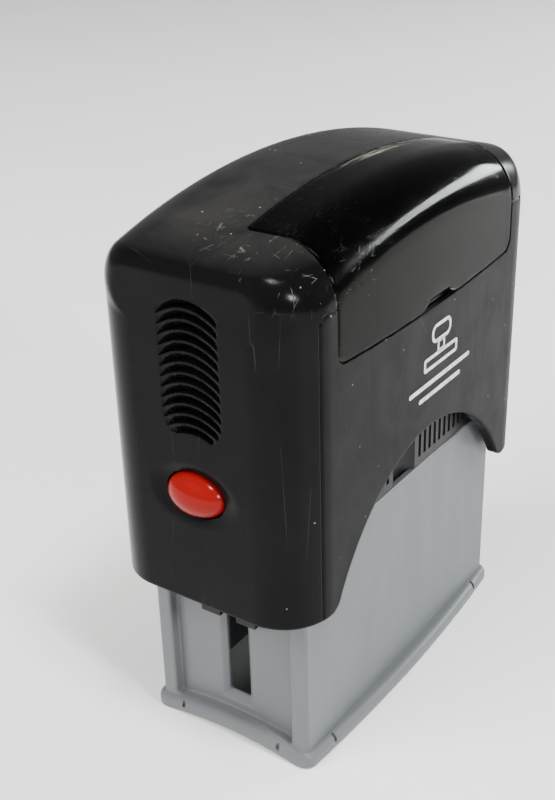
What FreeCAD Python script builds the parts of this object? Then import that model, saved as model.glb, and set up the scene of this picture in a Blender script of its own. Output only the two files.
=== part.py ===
import FreeCAD, Part
import Sketcher
import math
import os

# Self-inking hand stamp for an 18 x 47 mm print.  Millimetres, +Z up.
# +X runs along the print, -Y is the marked front face, and the origin is the
# middle of the base at table height.  The hood stands at the top of its stroke.

doc = FreeCAD.newDocument("self_inking_stamp")
sheet = doc.addObject("Spreadsheet::Sheet", "sizes")
V = FreeCAD.Vector
RIBS = 13
COILS = 8
THUMB_SLOTS = 10
SAME_POINT = 1e-4
LEAST_CUT = 0.01
CROWN_SWEEP = 50
DIE_BARS = ((4, 17), (0, 12), (-4, 15))

SIZES = [
    ("overcut", 1.0, "cutting shapes reach past the surface"),
    ("root", 0.2, "added shapes reach into the wall"),
    ("print_length", 47.0, "die face, along X"),
    ("print_width", 18.0, "die face, along Y"),
    ("base_length", 58.8, "frame outside, along X"),
    ("base_width", 27.6, "frame outside, along Y"),
    ("base_wall", 1.2, "long walls of the frame"),
    ("base_sill", 36.0, "top of the long walls, where the cartridge rests"),
    ("tower_top", 54.0, "top of the two end towers"),
    ("tower_bay", 25.6, "half length of the opening between the towers"),
    ("end_inside", 26.3, "inner face of an end wall"),
    ("wall_corner", 0.9, "upright corners of the frame"),
    ("recess_depth", 1.8, "end wall set back between its posts"),
    ("recess_foot", 0.4, "foot of the recess over the rim, beside the posts"),
    ("post_width", 2.8, "corner post, along Y"),
    ("axle_slot", 4.0, "slot in an end wall, along Y"),
    ("slot_low", 6.4, "bottom of the slot"),
    ("slot_high", 50.0, "top of the slot"),
    ("slot_bend", 0.5, "outer edges of the slot"),
    ("rim_height", 2.5, "foot rim of the frame"),
    ("rim_ledge", 0.9, "rim stands out past the walls"),
    ("rim_belly", 1.4, "extra width of the rim at mid length"),
    ("rim_arch", 1.15, "rise of the rim in the middle of each end"),
    ("rim_corner", 1.8, "upright corners of the rim"),
    ("rim_bead", 0.9, "round top edge of the rim"),
    ("crest_inset", 2.6, "raised middle of the rim, from its corners"),
    ("crest_root", 1.0, "raised middle reaches down into the rim"),
    ("crest_drop", 0.1, "ends of the raised middle under the rim's top"),
    ("crest_back", 0.1, "raised middle behind the rim's end"),
    ("tick_width", 0.6, "notches that mark the print area"),
    ("tick_depth", 1.2, "notches, down from the top of the rim"),
    ("tick_side", 0.75, "notches start outside the long walls"),
    ("tick_end", 0.4, "notches start outside the end walls"),
    ("rail_low", 9.0, "foot of the guide rails"),
    ("rail_length", 16.0, "guide rails, along Z"),
    ("rail_near", 6.4, "guide rails, Y"),
    ("rail_far", 7.4, "guide rails, Y"),
    ("rail_depth", 1.4, "guide rails, in from the end wall"),
    ("catch_low", 41.3, "underside of the catches for the locks"),
    ("catch_height", 1.3, "catches, along Z"),
    ("catch_depth", 1.3, "catches, out from the end wall"),
    ("catch_near", 5.2, "catches, Y"),
    ("catch_far", 7.8, "catches, Y"),
    ("hood_length", 70.4, "hood outside, along X"),
    ("hood_width", 34.6, "hood outside, along Y"),
    ("hood_low", 28.2, "bottom edge of the hood"),
    ("crown_top", 84.9, "highest line of the hood"),
    ("crown_radius", 118.0, "arc of the crown, seen from the front"),
    ("hood_corner", 8.2, "upright corners of the hood"),
    ("hood_shoulder", 8.4, "long top edges of the hood"),
    ("hood_wall", 1.8, "side walls of the hood"),
    ("wide_top", 64.0, "roof of the widest part of the cavity"),
    ("tower_room_y", 14.2, "half width of the room over the towers"),
    ("tower_room_bend", 5.1, "corners of the room over the towers"),
    ("yoke_room_x", 29.6, "half length of the room over the yoke"),
    ("yoke_room_y", 9.0, "half width of the room over the yoke"),
    ("yoke_room_bend", 2.0, "corners of the room over the yoke"),
    ("cavity_top", 72.3, "roof over the towers"),
    ("roof_low", 78.0, "roof over the yoke"),
    ("arch_top", 45.7, "top of the cut-out in the long faces"),
    ("arch_radius", 26.0, "arc at the top of the cut-out"),
    ("arch_turn", 36.0, "half angle of that arc, degrees"),
    ("arch_half", 25.9, "half width of the cut-out at its foot"),
    ("flank_out", 1.5, "bow of the cut-out's flanks, X"),
    ("flank_up", 1.3, "bow of the cut-out's flanks, Z"),
    ("lip_inner", 0.3, "round foot of a flank, inside the half width"),
    ("lip_outer", 1.1, "round foot of a flank, outside the half width"),
    ("lip_height", 1.0, "round foot of a flank, Z"),
    ("lip_bow_x", 0.2, "middle of the round foot, X"),
    ("lip_bow_z", 0.25, "middle of the round foot, Z"),
    ("window_half", 25.4, "half length of the window"),
    ("window_back", -3.5, "rear edge of the window, Y"),
    ("window_low", 66.1, "window's lower edge at its ends"),
    ("window_sag", 0.95, "drop of the window's lower edge at mid length"),
    ("window_bend", 1.9, "lower corners of the window"),
    ("notch_middle", 2.3, "finger notch in the window's lower edge, X"),
    ("notch_half", 4.8, "finger notch at its foot, along X"),
    ("notch_high", 1.4, "finger notch, along Z"),
    ("window_skin", 1.2, "thickness of the window"),
    ("window_seat", 1.4, "depth of the recess for the window"),
    ("fit_gap", 0.2, "gap round the window"),
    ("button_height", 46.2, "middle of the lock buttons, Z"),
    ("button_half_y", 4.75, "half width of the button"),
    ("button_half_z", 3.3, "half height of the button"),
    ("dish_half_y", 7.0, "oval dish round the button"),
    ("dish_half_z", 4.5, "oval dish round the button"),
    ("dish_depth", 0.9, "oval dish round the button"),
    ("button_stand", 2.7, "button stands out of its dish"),
    ("button_gap", 0.3, "gap round the button"),
    ("button_root", 0.3, "dome starts out of its dish"),
    ("latch_gap", 0.25, "latch behind the end wall"),
    ("latch_thick", 1.0, "latch plate, along X"),
    ("latch_side", 2.75, "latch plate past the button, along Y"),
    ("latch_half_z", 4.5, "half height of the latch plate"),
    ("tooth_near", 5.6, "latch teeth, Y"),
    ("tooth_far", 7.4, "latch teeth, Y"),
    ("tooth_tip", 29.6, "latch teeth, X"),
    ("tooth_half_z", 1.3, "half height of a latch tooth"),
    ("grip_middle", -0.5, "middle of the finger grip, Y"),
    ("grip_half", 4.9, "half width of the finger grip"),
    ("grip_low", 54.4, "bottom of the finger grip"),
    ("grip_high", 75.0, "top of the finger grip"),
    ("grip_sag", 1.7, "rise of the curved ribs at their middle"),
    ("grip_depth", 1.1, "finger grip, into the end wall"),
    ("rib_first", 55.84, "top of the lowest rib"),
    ("rib_pitch", 1.505, "between the ribs of the grip"),
    ("rib_thick", 0.5, "ribs of the grip, along Z"),
    ("rib_inset", 0.35, "ribs lie back from the end face"),
    ("rib_root", 0.05, "ribs reach into the bottom of the grip"),
    ("rib_bite", 0.3, "ribs reach into the side walls of the grip"),
    ("seam_half", 29.2, "parting line of the front panel, X"),
    ("seam_top", 73.8, "top of the parting line"),
    ("seam_width", 0.3, "parting line"),
    ("seam_depth", 0.2, "parting line"),
    ("axle_height", 25.6, "axle at the top of the stroke"),
    ("axle_radius", 1.8, "axle pins"),
    ("axle_play", 0.05, "running fit of the axle in the yoke"),
    ("die_reach", 8.4, "axle to die face"),
    ("stroke", 17.0, "travel of the hood"),
    ("arm_half", 4.9, "half width of a yoke arm"),
    ("arm_inner", 27.85, "inner face of a yoke arm"),
    ("arm_outer", 29.15, "outer face of a yoke arm"),
    ("arm_low", 21.8, "lower end of a yoke arm"),
    ("mouth_half", 1.5, "half width of the snap mouth under the axle"),
    ("bar_low", 73.0, "underside of the yoke's crossbar"),
    ("bar_high", 76.0, "top of the yoke's crossbar"),
    ("bar_half", 8.4, "half width of the yoke's crossbar"),
    ("yoke_bore", 5.8, "hole in the crossbar round the spring"),
    ("insert_half", 12.2, "half width of what fits between the long walls"),
    ("bridge_low", 49.5, "underside of the spring bridge"),
    ("bridge_high", 53.0, "top of the spring bridge"),
    ("cup_radius", 7.4, "cup under the bridge"),
    ("cup_bore", 5.6, "inside of the cup"),
    ("cup_floor", 1.5, "bottom of the cup"),
    ("tray_half", 25.2, "half length of the ink cartridge"),
    ("tray_half_y", 13.6, "half width of the cartridge over the sill"),
    ("sill_gap", 0.2, "cartridge over the sill"),
    ("tray_low", 34.4, "underside of the cartridge"),
    ("tray_high", 45.5, "top of the cartridge"),
    ("pad_low", 34.6, "inked face of the pad"),
    ("pad_high", 38.0, "back of the pad"),
    ("pad_half_x", 24.4, "half length of the pad"),
    ("pad_half_y", 10.0, "half width of the pad"),
    ("pad_gap", 0.05, "gap round the pad"),
    ("ink_half_x", 23.5, "half length of the ink well"),
    ("ink_half_y", 9.5, "half width of the ink well"),
    ("ink_low", 40.0, "floor of the ink well"),
    ("thumb_middle", -0.8, "thumb hollows of the cartridge, X"),
    ("thumb_offset", 16.4, "axis of a thumb hollow, Y"),
    ("thumb_radius", 4.4, "thumb hollows"),
    ("thumb_depth", 12.0, "thumb hollows, along Z"),
    ("thumb_face", 12.4, "bottom of the slots beside the thumb hollows, Y"),
    ("thumb_first", 5.0, "first slot beside a thumb hollow"),
    ("thumb_pitch", 1.65, "between those slots"),
    ("thumb_slot", 0.8, "width of those slots"),
    ("thumb_low", 1.5, "foot of those slots over the sill"),
    ("screw_radius", 0.9, "bridge screws"),
    ("screw_offset", 7.5, "bridge screws, Y"),
    ("screw_height", 51.2, "bridge screws, Z"),
    ("screw_bite", 5.0, "bridge screws, into the bridge"),
    ("screw_head", 1.8, "head of a bridge screw, radius"),
    ("screw_cap", 0.9, "head of a bridge screw, along X"),
    ("boss_offset", 20.0, "yoke screws, X"),
    ("boss_radius", 3.0, "bosses for the yoke screws"),
    ("yoke_screw", 1.1, "yoke screws, radius"),
    ("yoke_screw_long", 7.0, "yoke screws, under the head"),
    ("yoke_head", 2.1, "head of a yoke screw, radius"),
    ("yoke_head_high", 1.2, "head of a yoke screw, along Z"),
    ("guide_low", 66.0, "tip of the spring guide"),
    ("guide_radius", 3.4, "stud of the spring guide"),
    ("guide_flange", 5.4, "flange of the spring guide"),
    ("spring_low", 47.8, "spring seat in the bridge"),
    ("spring_high", 76.8, "spring seat under the roof"),
    ("spring_radius", 4.5, "coil centre line"),
    ("wire_radius", 0.45, "spring wire"),
    ("plate_half_x", 24.0, "half length of the die plate"),
    ("plate_half_y", 9.3, "half width of the die plate"),
    ("plate_low", 3.1, "back of the die plate, from the axle"),
    ("plate_high", 5.1, "face of the die plate, from the axle"),
    ("plate_rib_y", 5.0, "ribs on the back of the plate, Y"),
    ("plate_rib", 0.8, "width of those ribs"),
    ("plate_rib_low", 1.6, "foot of those ribs, from the axle"),
    ("hub_inner", 22.0, "inner face of a hub, X"),
    ("hub_radius", 3.4, "hubs of the die plate"),
    ("pin_level", 4.1, "turning pins, from the axle"),
    ("pin_radius", 0.9, "turning pins"),
    ("pin_bite", 1.0, "turning pins, into the plate"),
    ("pin_out", 1.9, "turning pins, out of the plate"),
    ("cushion_high", 6.1, "face of the cushion, from the axle"),
    ("sheet_high", 7.6, "ground of the rubber die, from the axle"),
    ("border_x", 22.5, "border of the die, half length"),
    ("border_y", 8.2, "border of the die, half width"),
    ("border_wide", 0.8, "width of the border"),
    ("bar_wide", 1.6, "width of the bars in relief"),
]

for row, (alias, number, note) in enumerate(SIZES, 1):
    sheet.set(f"A{row}", note)
    sheet.set(f"B{row}", str(number))
    sheet.setAlias(f"B{row}", alias)
doc.recompute()


def size(alias):
    return float(sheet.get(alias))


def bind(thing, **expressions):
    """Tie properties to the sheet; a double underscore stands for a dot."""
    for name, text in expressions.items():
        thing.setExpression(name.replace("__", "."), text)
    return thing


def at(thing, x="0", y="0", z="0"):
    """Tie an object's place to the sheet."""
    thing.setExpression(".Placement.Base.x", x)
    thing.setExpression(".Placement.Base.y", y)
    thing.setExpression(".Placement.Base.z", z)
    return thing


# ---------------------------------------------------------------- Part objects

def box(name, x, y, z):
    """Block between pairs of sheet expressions, one pair for each direction."""
    block = doc.addObject("Part::Box", name)
    bind(block, Length=f"({x[1]}) - ({x[0]})", Width=f"({y[1]}) - ({y[0]})",
         Height=f"({z[1]}) - ({z[0]})")
    return at(block, x[0], y[0], z[0])


TURN = {"X": FreeCAD.Rotation(V(0, 1, 0), 90), "Y": FreeCAD.Rotation(V(1, 0, 0), -90),
        "Z": FreeCAD.Rotation()}


def screw_row(prefix, radius, start, length, height):
    """Four bars along X, two at each end of the frame."""
    bars = []
    for sign in (-1, 1):
        begin = start if sign > 0 else f"-({start}) - ({length})"
        for side in (-1, 1):
            name = f"{prefix}_{len(bars)}"
            bars.append(rod(name, radius, length, x=begin, y=f"{side} * sizes.screw_offset",
                            z=height, along="X"))
    return bars


def rod(name, radius, length, x="0", y="0", z="0", along="Z"):
    """Round bar that starts at x, y, z and runs along one positive axis."""
    bar = doc.addObject("Part::Cylinder", name)
    bar.Placement = FreeCAD.Placement(V(), TURN[along])
    bind(bar, Radius=radius, Height=length)
    return at(bar, x, y, z)


def fuse(name, shapes):
    joined = doc.addObject("Part::MultiFuse", name)
    joined.Shapes = shapes
    joined.Refine = True
    return joined


def cut(name, base, tool):
    left = doc.addObject("Part::Cut", name)
    left.Base = base
    left.Tool = tool
    left.Refine = True
    return left


def group(name, shapes):
    """Several like pieces kept as one node."""
    pieces = doc.addObject("Part::Compound", name)
    pieces.Links = shapes
    return pieces


# ---------------------------------------------------------------- PartDesign

def body(name):
    return doc.addObject("PartDesign::Body", name)


def sketch_on(part, name, role, lift=None):
    """Sketch on one of the body's own origin planes, lifted by an expression."""
    sketch = part.newObject("Sketcher::SketchObject", name)
    plane = next(f for f in part.Origin.OriginFeatures if f.Role == role)
    sketch.AttachmentSupport = [(plane, "")]
    sketch.MapMode = "FlatFace"
    if lift:
        sketch.setExpression(".AttachmentOffset.Base.z", lift)
    return sketch


def hold(sketch, kind, geometry, point, text):
    """Tie one coordinate of a sketch point to the sheet."""
    index = sketch.addConstraint(Sketcher.Constraint(kind, -1, 1, geometry, point, 1.0))
    sketch.setExpression(f"Constraints[{index}]", text)


def rectangle(sketch, left, right, low, high):
    """Four lines whose sides lie at four sheet expressions."""
    corners = [V(0, 0, 0), V(1, 0, 0), V(1, 1, 0), V(0, 1, 0)]
    first = sketch.GeometryCount
    for k in range(4):
        sketch.addGeometry(Part.LineSegment(corners[k], corners[(k + 1) % 4]), False)
    for k in range(4):
        sketch.addConstraint(Sketcher.Constraint("Coincident", first + k, 2, first + (k + 1) % 4, 1))
    for k in (0, 2):
        sketch.addConstraint(Sketcher.Constraint("Horizontal", first + k))
        sketch.addConstraint(Sketcher.Constraint("Vertical", first + k + 1))
    hold(sketch, "DistanceX", first, 1, left)
    hold(sketch, "DistanceX", first + 2, 1, right)
    hold(sketch, "DistanceY", first, 1, low)
    hold(sketch, "DistanceY", first + 2, 1, high)


def outline(sketch, curves):
    """Closed outline from curves that follow one another end to end.

    A sketch keeps every arc anticlockwise, so an arc's own start can be its second point.
    """
    first = sketch.GeometryCount
    ends = []
    for k, curve in enumerate(curves):
        sketch.addGeometry(curve, False)
        kept = sketch.getPoint(first + k, 1).distanceToPoint(curve.StartPoint) < SAME_POINT
        ends.append((1, 2) if kept else (2, 1))
    for k in range(len(curves)):
        after = (k + 1) % len(curves)
        sketch.addConstraint(Sketcher.Constraint("Coincident", first + k, ends[k][1],
                                                 first + after, ends[after][0]))


def line(start, end):
    return Part.LineSegment(V(*start, 0), V(*end, 0))


def arc(start, middle, end):
    """Circular arc through three points, kept in the order given."""
    return Part.Arc(V(*start, 0), V(*middle, 0), V(*end, 0))


def rounded(sketch, half_x, half_y, radius):
    """Rectangle about the sketch's middle with round corners."""
    inner_x = half_x - radius
    inner_y = half_y - radius
    bend = radius * math.sqrt(0.5)
    curves = []
    for sx, sy in ((1, -1), (1, 1), (-1, 1), (-1, -1)):
        side = (sx * half_x, sy * inner_y)
        end = (sx * inner_x, sy * half_y)
        start, finish = (end, side) if sx * sy < 0 else (side, end)
        curves.append(arc(start, (sx * (inner_x + bend), sy * (inner_y + bend)), finish))
    linked = []
    for k, bend_curve in enumerate(curves):
        following = curves[(k + 1) % 4]
        linked.append(bend_curve)
        linked.append(Part.LineSegment(bend_curve.EndPoint, following.StartPoint))
    outline(sketch, linked)


def pad(part, sketch, length, sides="One side", back=False):
    feature = part.newObject("PartDesign::Pad", sketch.Name + "_pad")
    feature.Profile = sketch
    feature.SideType = sides
    feature.Reversed = back
    feature.setExpression("Length", length)
    part.Tip = feature
    return feature


def pocket(part, sketch, length=None, back=False, through=False):
    """Cut a sketch into a body; the body has to lose volume."""
    doc.recompute()
    before = part.Shape.Volume
    feature = part.newObject("PartDesign::Pocket", sketch.Name + "_pocket")
    feature.Profile = sketch
    feature.Reversed = back
    if through:
        feature.SideType = "Two sides"
        feature.Type = "ThroughAll"
        feature.Type2 = "ThroughAll"
    else:
        feature.setExpression("Length", length)
    part.Tip = feature
    doc.recompute()
    if part.Shape.Volume > before - LEAST_CUT:
        raise RuntimeError(f"{sketch.Name} cuts nothing")
    return feature


def fillet(part, radius, pick):
    """Round the edges of a body that pick() accepts."""
    doc.recompute()
    names = [f"Edge{n}" for n, edge in enumerate(part.Shape.Edges, 1) if pick(edge)]
    base = part.Tip
    feature = part.newObject("PartDesign::Fillet", part.Name + "_round")
    feature.Base = (base, names)
    feature.setExpression("Radius", radius)
    doc.recompute()
    part.Tip = feature
    return feature


def spread(sign, near, far):
    """Left and right limits of something between two distances on one side."""
    ends = (f"{sign} * ({near})", f"{sign} * ({far})")
    return ends if sign > 0 else ends[::-1]


def upright(edge):
    """True for a straight vertical edge."""
    ends = [vertex.Point for vertex in edge.Vertexes]
    return len(ends) == 2 and abs(ends[0].x - ends[1].x) + abs(ends[0].y - ends[1].y) < SAME_POINT


# ---------------------------------------------------------------- base frame

def make_base_frame():
    frame = body("base_frame")
    # foot rim: straight ends, bellied long sides
    rim = sketch_on(frame, "rim", "XY_Plane")
    long_half = size("base_length") / 2 + size("rim_ledge")
    wide_half = size("base_width") / 2 + size("rim_ledge")
    belly = wide_half + size("rim_belly")
    outline(rim, [
        arc((-long_half, -wide_half), (0, -belly), (long_half, -wide_half)),
        line((long_half, -wide_half), (long_half, wide_half)),
        arc((long_half, wide_half), (0, belly), (-long_half, wide_half)),
        line((-long_half, wide_half), (-long_half, -wide_half)),
    ])
    pad(frame, rim, "sizes.rim_height")
    fillet(frame, "sizes.rim_corner", upright)
    fillet(frame, "sizes.rim_bead", lambda edge: edge.BoundBox.ZMin > size("rim_height") - SAME_POINT)

    # raised middle of the rim at both ends
    crest = sketch_on(frame, "crest", "YZ_Plane")
    reach = wide_half - size("crest_inset")
    low = size("rim_height") - size("crest_root")
    brow = size("rim_height") - size("crest_drop")
    high = size("rim_height") + size("rim_arch")
    outline(crest, [
        line((-reach, low), (reach, low)),
        line((reach, low), (reach, brow)),
        arc((reach, brow), (0, high), (-reach, brow)),
        line((-reach, brow), (-reach, low)),
    ])
    pad(frame, crest, "sizes.base_length + 2 * (sizes.rim_ledge - sizes.crest_back)", sides="Symmetric")

    # walls and end towers in one block
    block = sketch_on(frame, "block", "XY_Plane")
    rounded(block, size("base_length") / 2, size("base_width") / 2, size("wall_corner"))
    pad(frame, block, "sizes.tower_top")

    # room for the cartridge between the towers
    bay = sketch_on(frame, "bay", "XZ_Plane")
    rectangle(bay, "-sizes.tower_bay", "sizes.tower_bay", "sizes.base_sill",
              "sizes.tower_top + sizes.overcut")
    pocket(frame, bay, through=True)

    # open inside, from the table up
    inside = sketch_on(frame, "inside", "XY_Plane")
    rectangle(inside, "-sizes.end_inside", "sizes.end_inside",
              "-sizes.base_width / 2 + sizes.base_wall", "sizes.base_width / 2 - sizes.base_wall")
    pocket(frame, inside, through=True)

    # end walls set back between the corner posts, arched at the foot
    post = size("base_width") / 2 - size("post_width")
    foot = size("rim_height") + size("recess_foot")
    crest_top = size("rim_height") + size("rim_arch")
    top = size("tower_top") + size("overcut")
    for side, name in ((1, "recess_right"), (-1, "recess_left")):
        recess = sketch_on(frame, name, "YZ_Plane",
                           f"{side} * (sizes.base_length / 2 - sizes.recess_depth)")
        outline(recess, [
            arc((-post, foot), (0, crest_top), (post, foot)),
            line((post, foot), (post, top)),
            line((post, top), (-post, top)),
            line((-post, top), (-post, foot)),
        ])
        pocket(frame, recess, "sizes.recess_depth + sizes.root", back=side > 0)

    # slots for the axle
    slot = sketch_on(frame, "axle_slots", "YZ_Plane")
    rectangle(slot, "-sizes.axle_slot / 2", "sizes.axle_slot / 2", "sizes.slot_low", "sizes.slot_high")
    pocket(frame, slot, through=True)
    fillet(frame, "sizes.slot_bend", slot_mouth)

    # hollow under each end of the rim
    hollow = sketch_on(frame, "end_hollow", "YZ_Plane")
    below = -size("overcut")
    outline(hollow, [
        line((-reach, below), (reach, below)),
        line((reach, below), (reach, 0)),
        arc((reach, 0), (0, size("rim_arch")), (-reach, 0)),
        line((-reach, 0), (-reach, below)),
    ])
    pocket(frame, hollow, through=True)

    # notches in the rim at the edges of the print
    ticks = sketch_on(frame, "ticks", "XY_Plane", "sizes.rim_height - sizes.tick_depth")
    half_tick = "sizes.tick_width / 2"
    past_side = "sizes.base_width / 2 + sizes.rim_ledge + sizes.rim_belly + sizes.overcut"
    past_end = "sizes.base_length / 2 + sizes.rim_ledge + sizes.overcut"
    for sign in (-1, 1):
        across = f"{sign} * sizes.print_length / 2"
        along = f"{sign} * sizes.print_width / 2"
        for side in (-1, 1):
            rectangle(ticks, f"{across} - {half_tick}", f"{across} + {half_tick}",
                      *spread(side, "sizes.base_width / 2 + sizes.tick_side", past_side))
            rectangle(ticks, *spread(side, "sizes.base_length / 2 + sizes.tick_end", past_end),
                      f"{along} - {half_tick}", f"{along} + {half_tick}")
    pocket(frame, ticks, "sizes.rim_height + sizes.rim_arch", back=True)

    # holes for the bridge screws
    holes = sketch_on(frame, "screw_holes", "YZ_Plane")
    for side in (-1, 1):
        spot = V(side * size("screw_offset"), size("screw_height"), 0)
        holes.addGeometry(Part.Circle(spot, V(0, 0, 1), size("screw_radius")), False)
    pocket(frame, holes, through=True)

    # rails that guide the turning pins, and catches for the lock buttons
    wall = "sizes.end_inside"
    face = "sizes.base_length / 2 - sizes.recess_depth"
    rails = sketch_on(frame, "rails", "XY_Plane", "sizes.rail_low")
    catches = sketch_on(frame, "catches", "XY_Plane", "sizes.catch_low")
    for sign in (-1, 1):
        rectangle(rails, *spread(sign, f"{wall} - sizes.rail_depth", f"{wall} + sizes.root"),
                  "sizes.rail_near", "sizes.rail_far")
        for side in (-1, 1):
            rectangle(catches, *spread(sign, f"{face} - sizes.root", f"{face} + sizes.catch_depth"),
                      *spread(side, "sizes.catch_near", "sizes.catch_far"))
    pad(frame, rails, "sizes.rail_length")
    pad(frame, catches, "sizes.catch_height")
    return frame


def slot_mouth(edge):
    """Outer upright edges of the axle slots."""
    outside = size("base_length") / 2 - size("recess_depth")
    middle = edge.BoundBox.Center
    tall = edge.BoundBox.ZLength > size("slot_high") / 2
    return tall and abs(abs(middle.x) - outside) < SAME_POINT and abs(middle.y) < size("axle_slot")


# ---------------------------------------------------------------- hood

def crown_profile(back, front_low, skin, lift):
    """Skin over the crown and down the front face, seen from the end."""
    top = size("crown_top")
    face = -size("hood_width") / 2
    bend = size("hood_shoulder")
    centre = (face + bend, top - bend)
    outer = bend + lift
    inner = bend - skin
    lean = math.sqrt(0.5)

    def on_arc(radius, y, z):
        return (centre[0] + radius * y, centre[1] + radius * z)

    return [
        line((back, top + lift), on_arc(outer, 0, 1)),
        arc(on_arc(outer, 0, 1), on_arc(outer, -lean, lean), on_arc(outer, -1, 0)),
        line(on_arc(outer, -1, 0), (face - lift, front_low)),
        line((face - lift, front_low), (face + skin, front_low)),
        line((face + skin, front_low), on_arc(inner, -1, 0)),
        arc(on_arc(inner, -1, 0), on_arc(inner, -lean, lean), on_arc(inner, 0, 1)),
        line(on_arc(inner, 0, 1), (back, top - skin)),
        line((back, top - skin), (back, top + lift)),
    ]


def crown_axis(sketch):
    """Axis of the crown's arc, parallel to Y, as the sketch's first construction line."""
    height = size("crown_top") - size("crown_radius")
    side = size("hood_width") / 2
    sketch.addGeometry(line((-side, height), (side, height)), True)


def window_part(name, skin, lift, gap, notch):
    """Curved skin cut to the window's outline; also serves to cut its seat."""
    shell = body(name + "_skin")
    profile = sketch_on(shell, name + "_profile", "YZ_Plane")
    below = size("window_low") - size("hood_shoulder")
    outline(profile, crown_profile(size("window_back") + gap, below, skin, lift))
    crown_axis(profile)
    sweep = shell.newObject("PartDesign::Revolution", name + "_sweep")
    sweep.Profile = profile
    sweep.ReferenceAxis = (profile, ["Axis0"])
    sweep.Midplane = True
    sweep.Angle = CROWN_SWEEP

    shape = body(name + "_shape")
    front = sketch_on(shape, name + "_outline", "XZ_Plane")
    half = size("window_half") + gap
    low = size("window_low") - gap
    bend = size("window_bend")
    sag = size("window_sag")
    top = size("crown_top") + size("hood_shoulder")
    inset = bend * (1 - math.sqrt(0.5))

    def lower_edge(x):
        return low - sag * (1 - (x / half) ** 2)

    def point(x):
        return (x, lower_edge(x))

    left_foot = point(-half + bend)
    right_foot = point(half - bend)
    edge = [
        line((half, low + bend), (half, top)),
        line((half, top), (-half, top)),
        line((-half, top), (-half, low + bend)),
        arc((-half, low + bend), (-half + inset, low + inset), left_foot),
    ]
    if notch:
        left = size("notch_middle") - size("notch_half")
        right = size("notch_middle") + size("notch_half")
        high = size("notch_high")
        crest = lower_edge(size("notch_middle")) + high
        edge += [
            arc(left_foot, point((left - half + bend) / 2), point(left)),
            line(point(left), (left + high, crest)),
            line((left + high, crest), (right - high, crest)),
            line((right - high, crest), point(right)),
            arc(point(right), point((right + half - bend) / 2), right_foot),
        ]
    else:
        edge.append(arc(left_foot, point(0), right_foot))
    edge.append(arc(right_foot, (half - inset, low + inset), (half, low + bend)))
    outline(front, edge)
    pad(shape, front, "2 * sizes.hood_width", sides="Symmetric")

    whole = doc.addObject("Part::Common", name)
    whole.Base = shell
    whole.Tool = shape
    return whole


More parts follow.
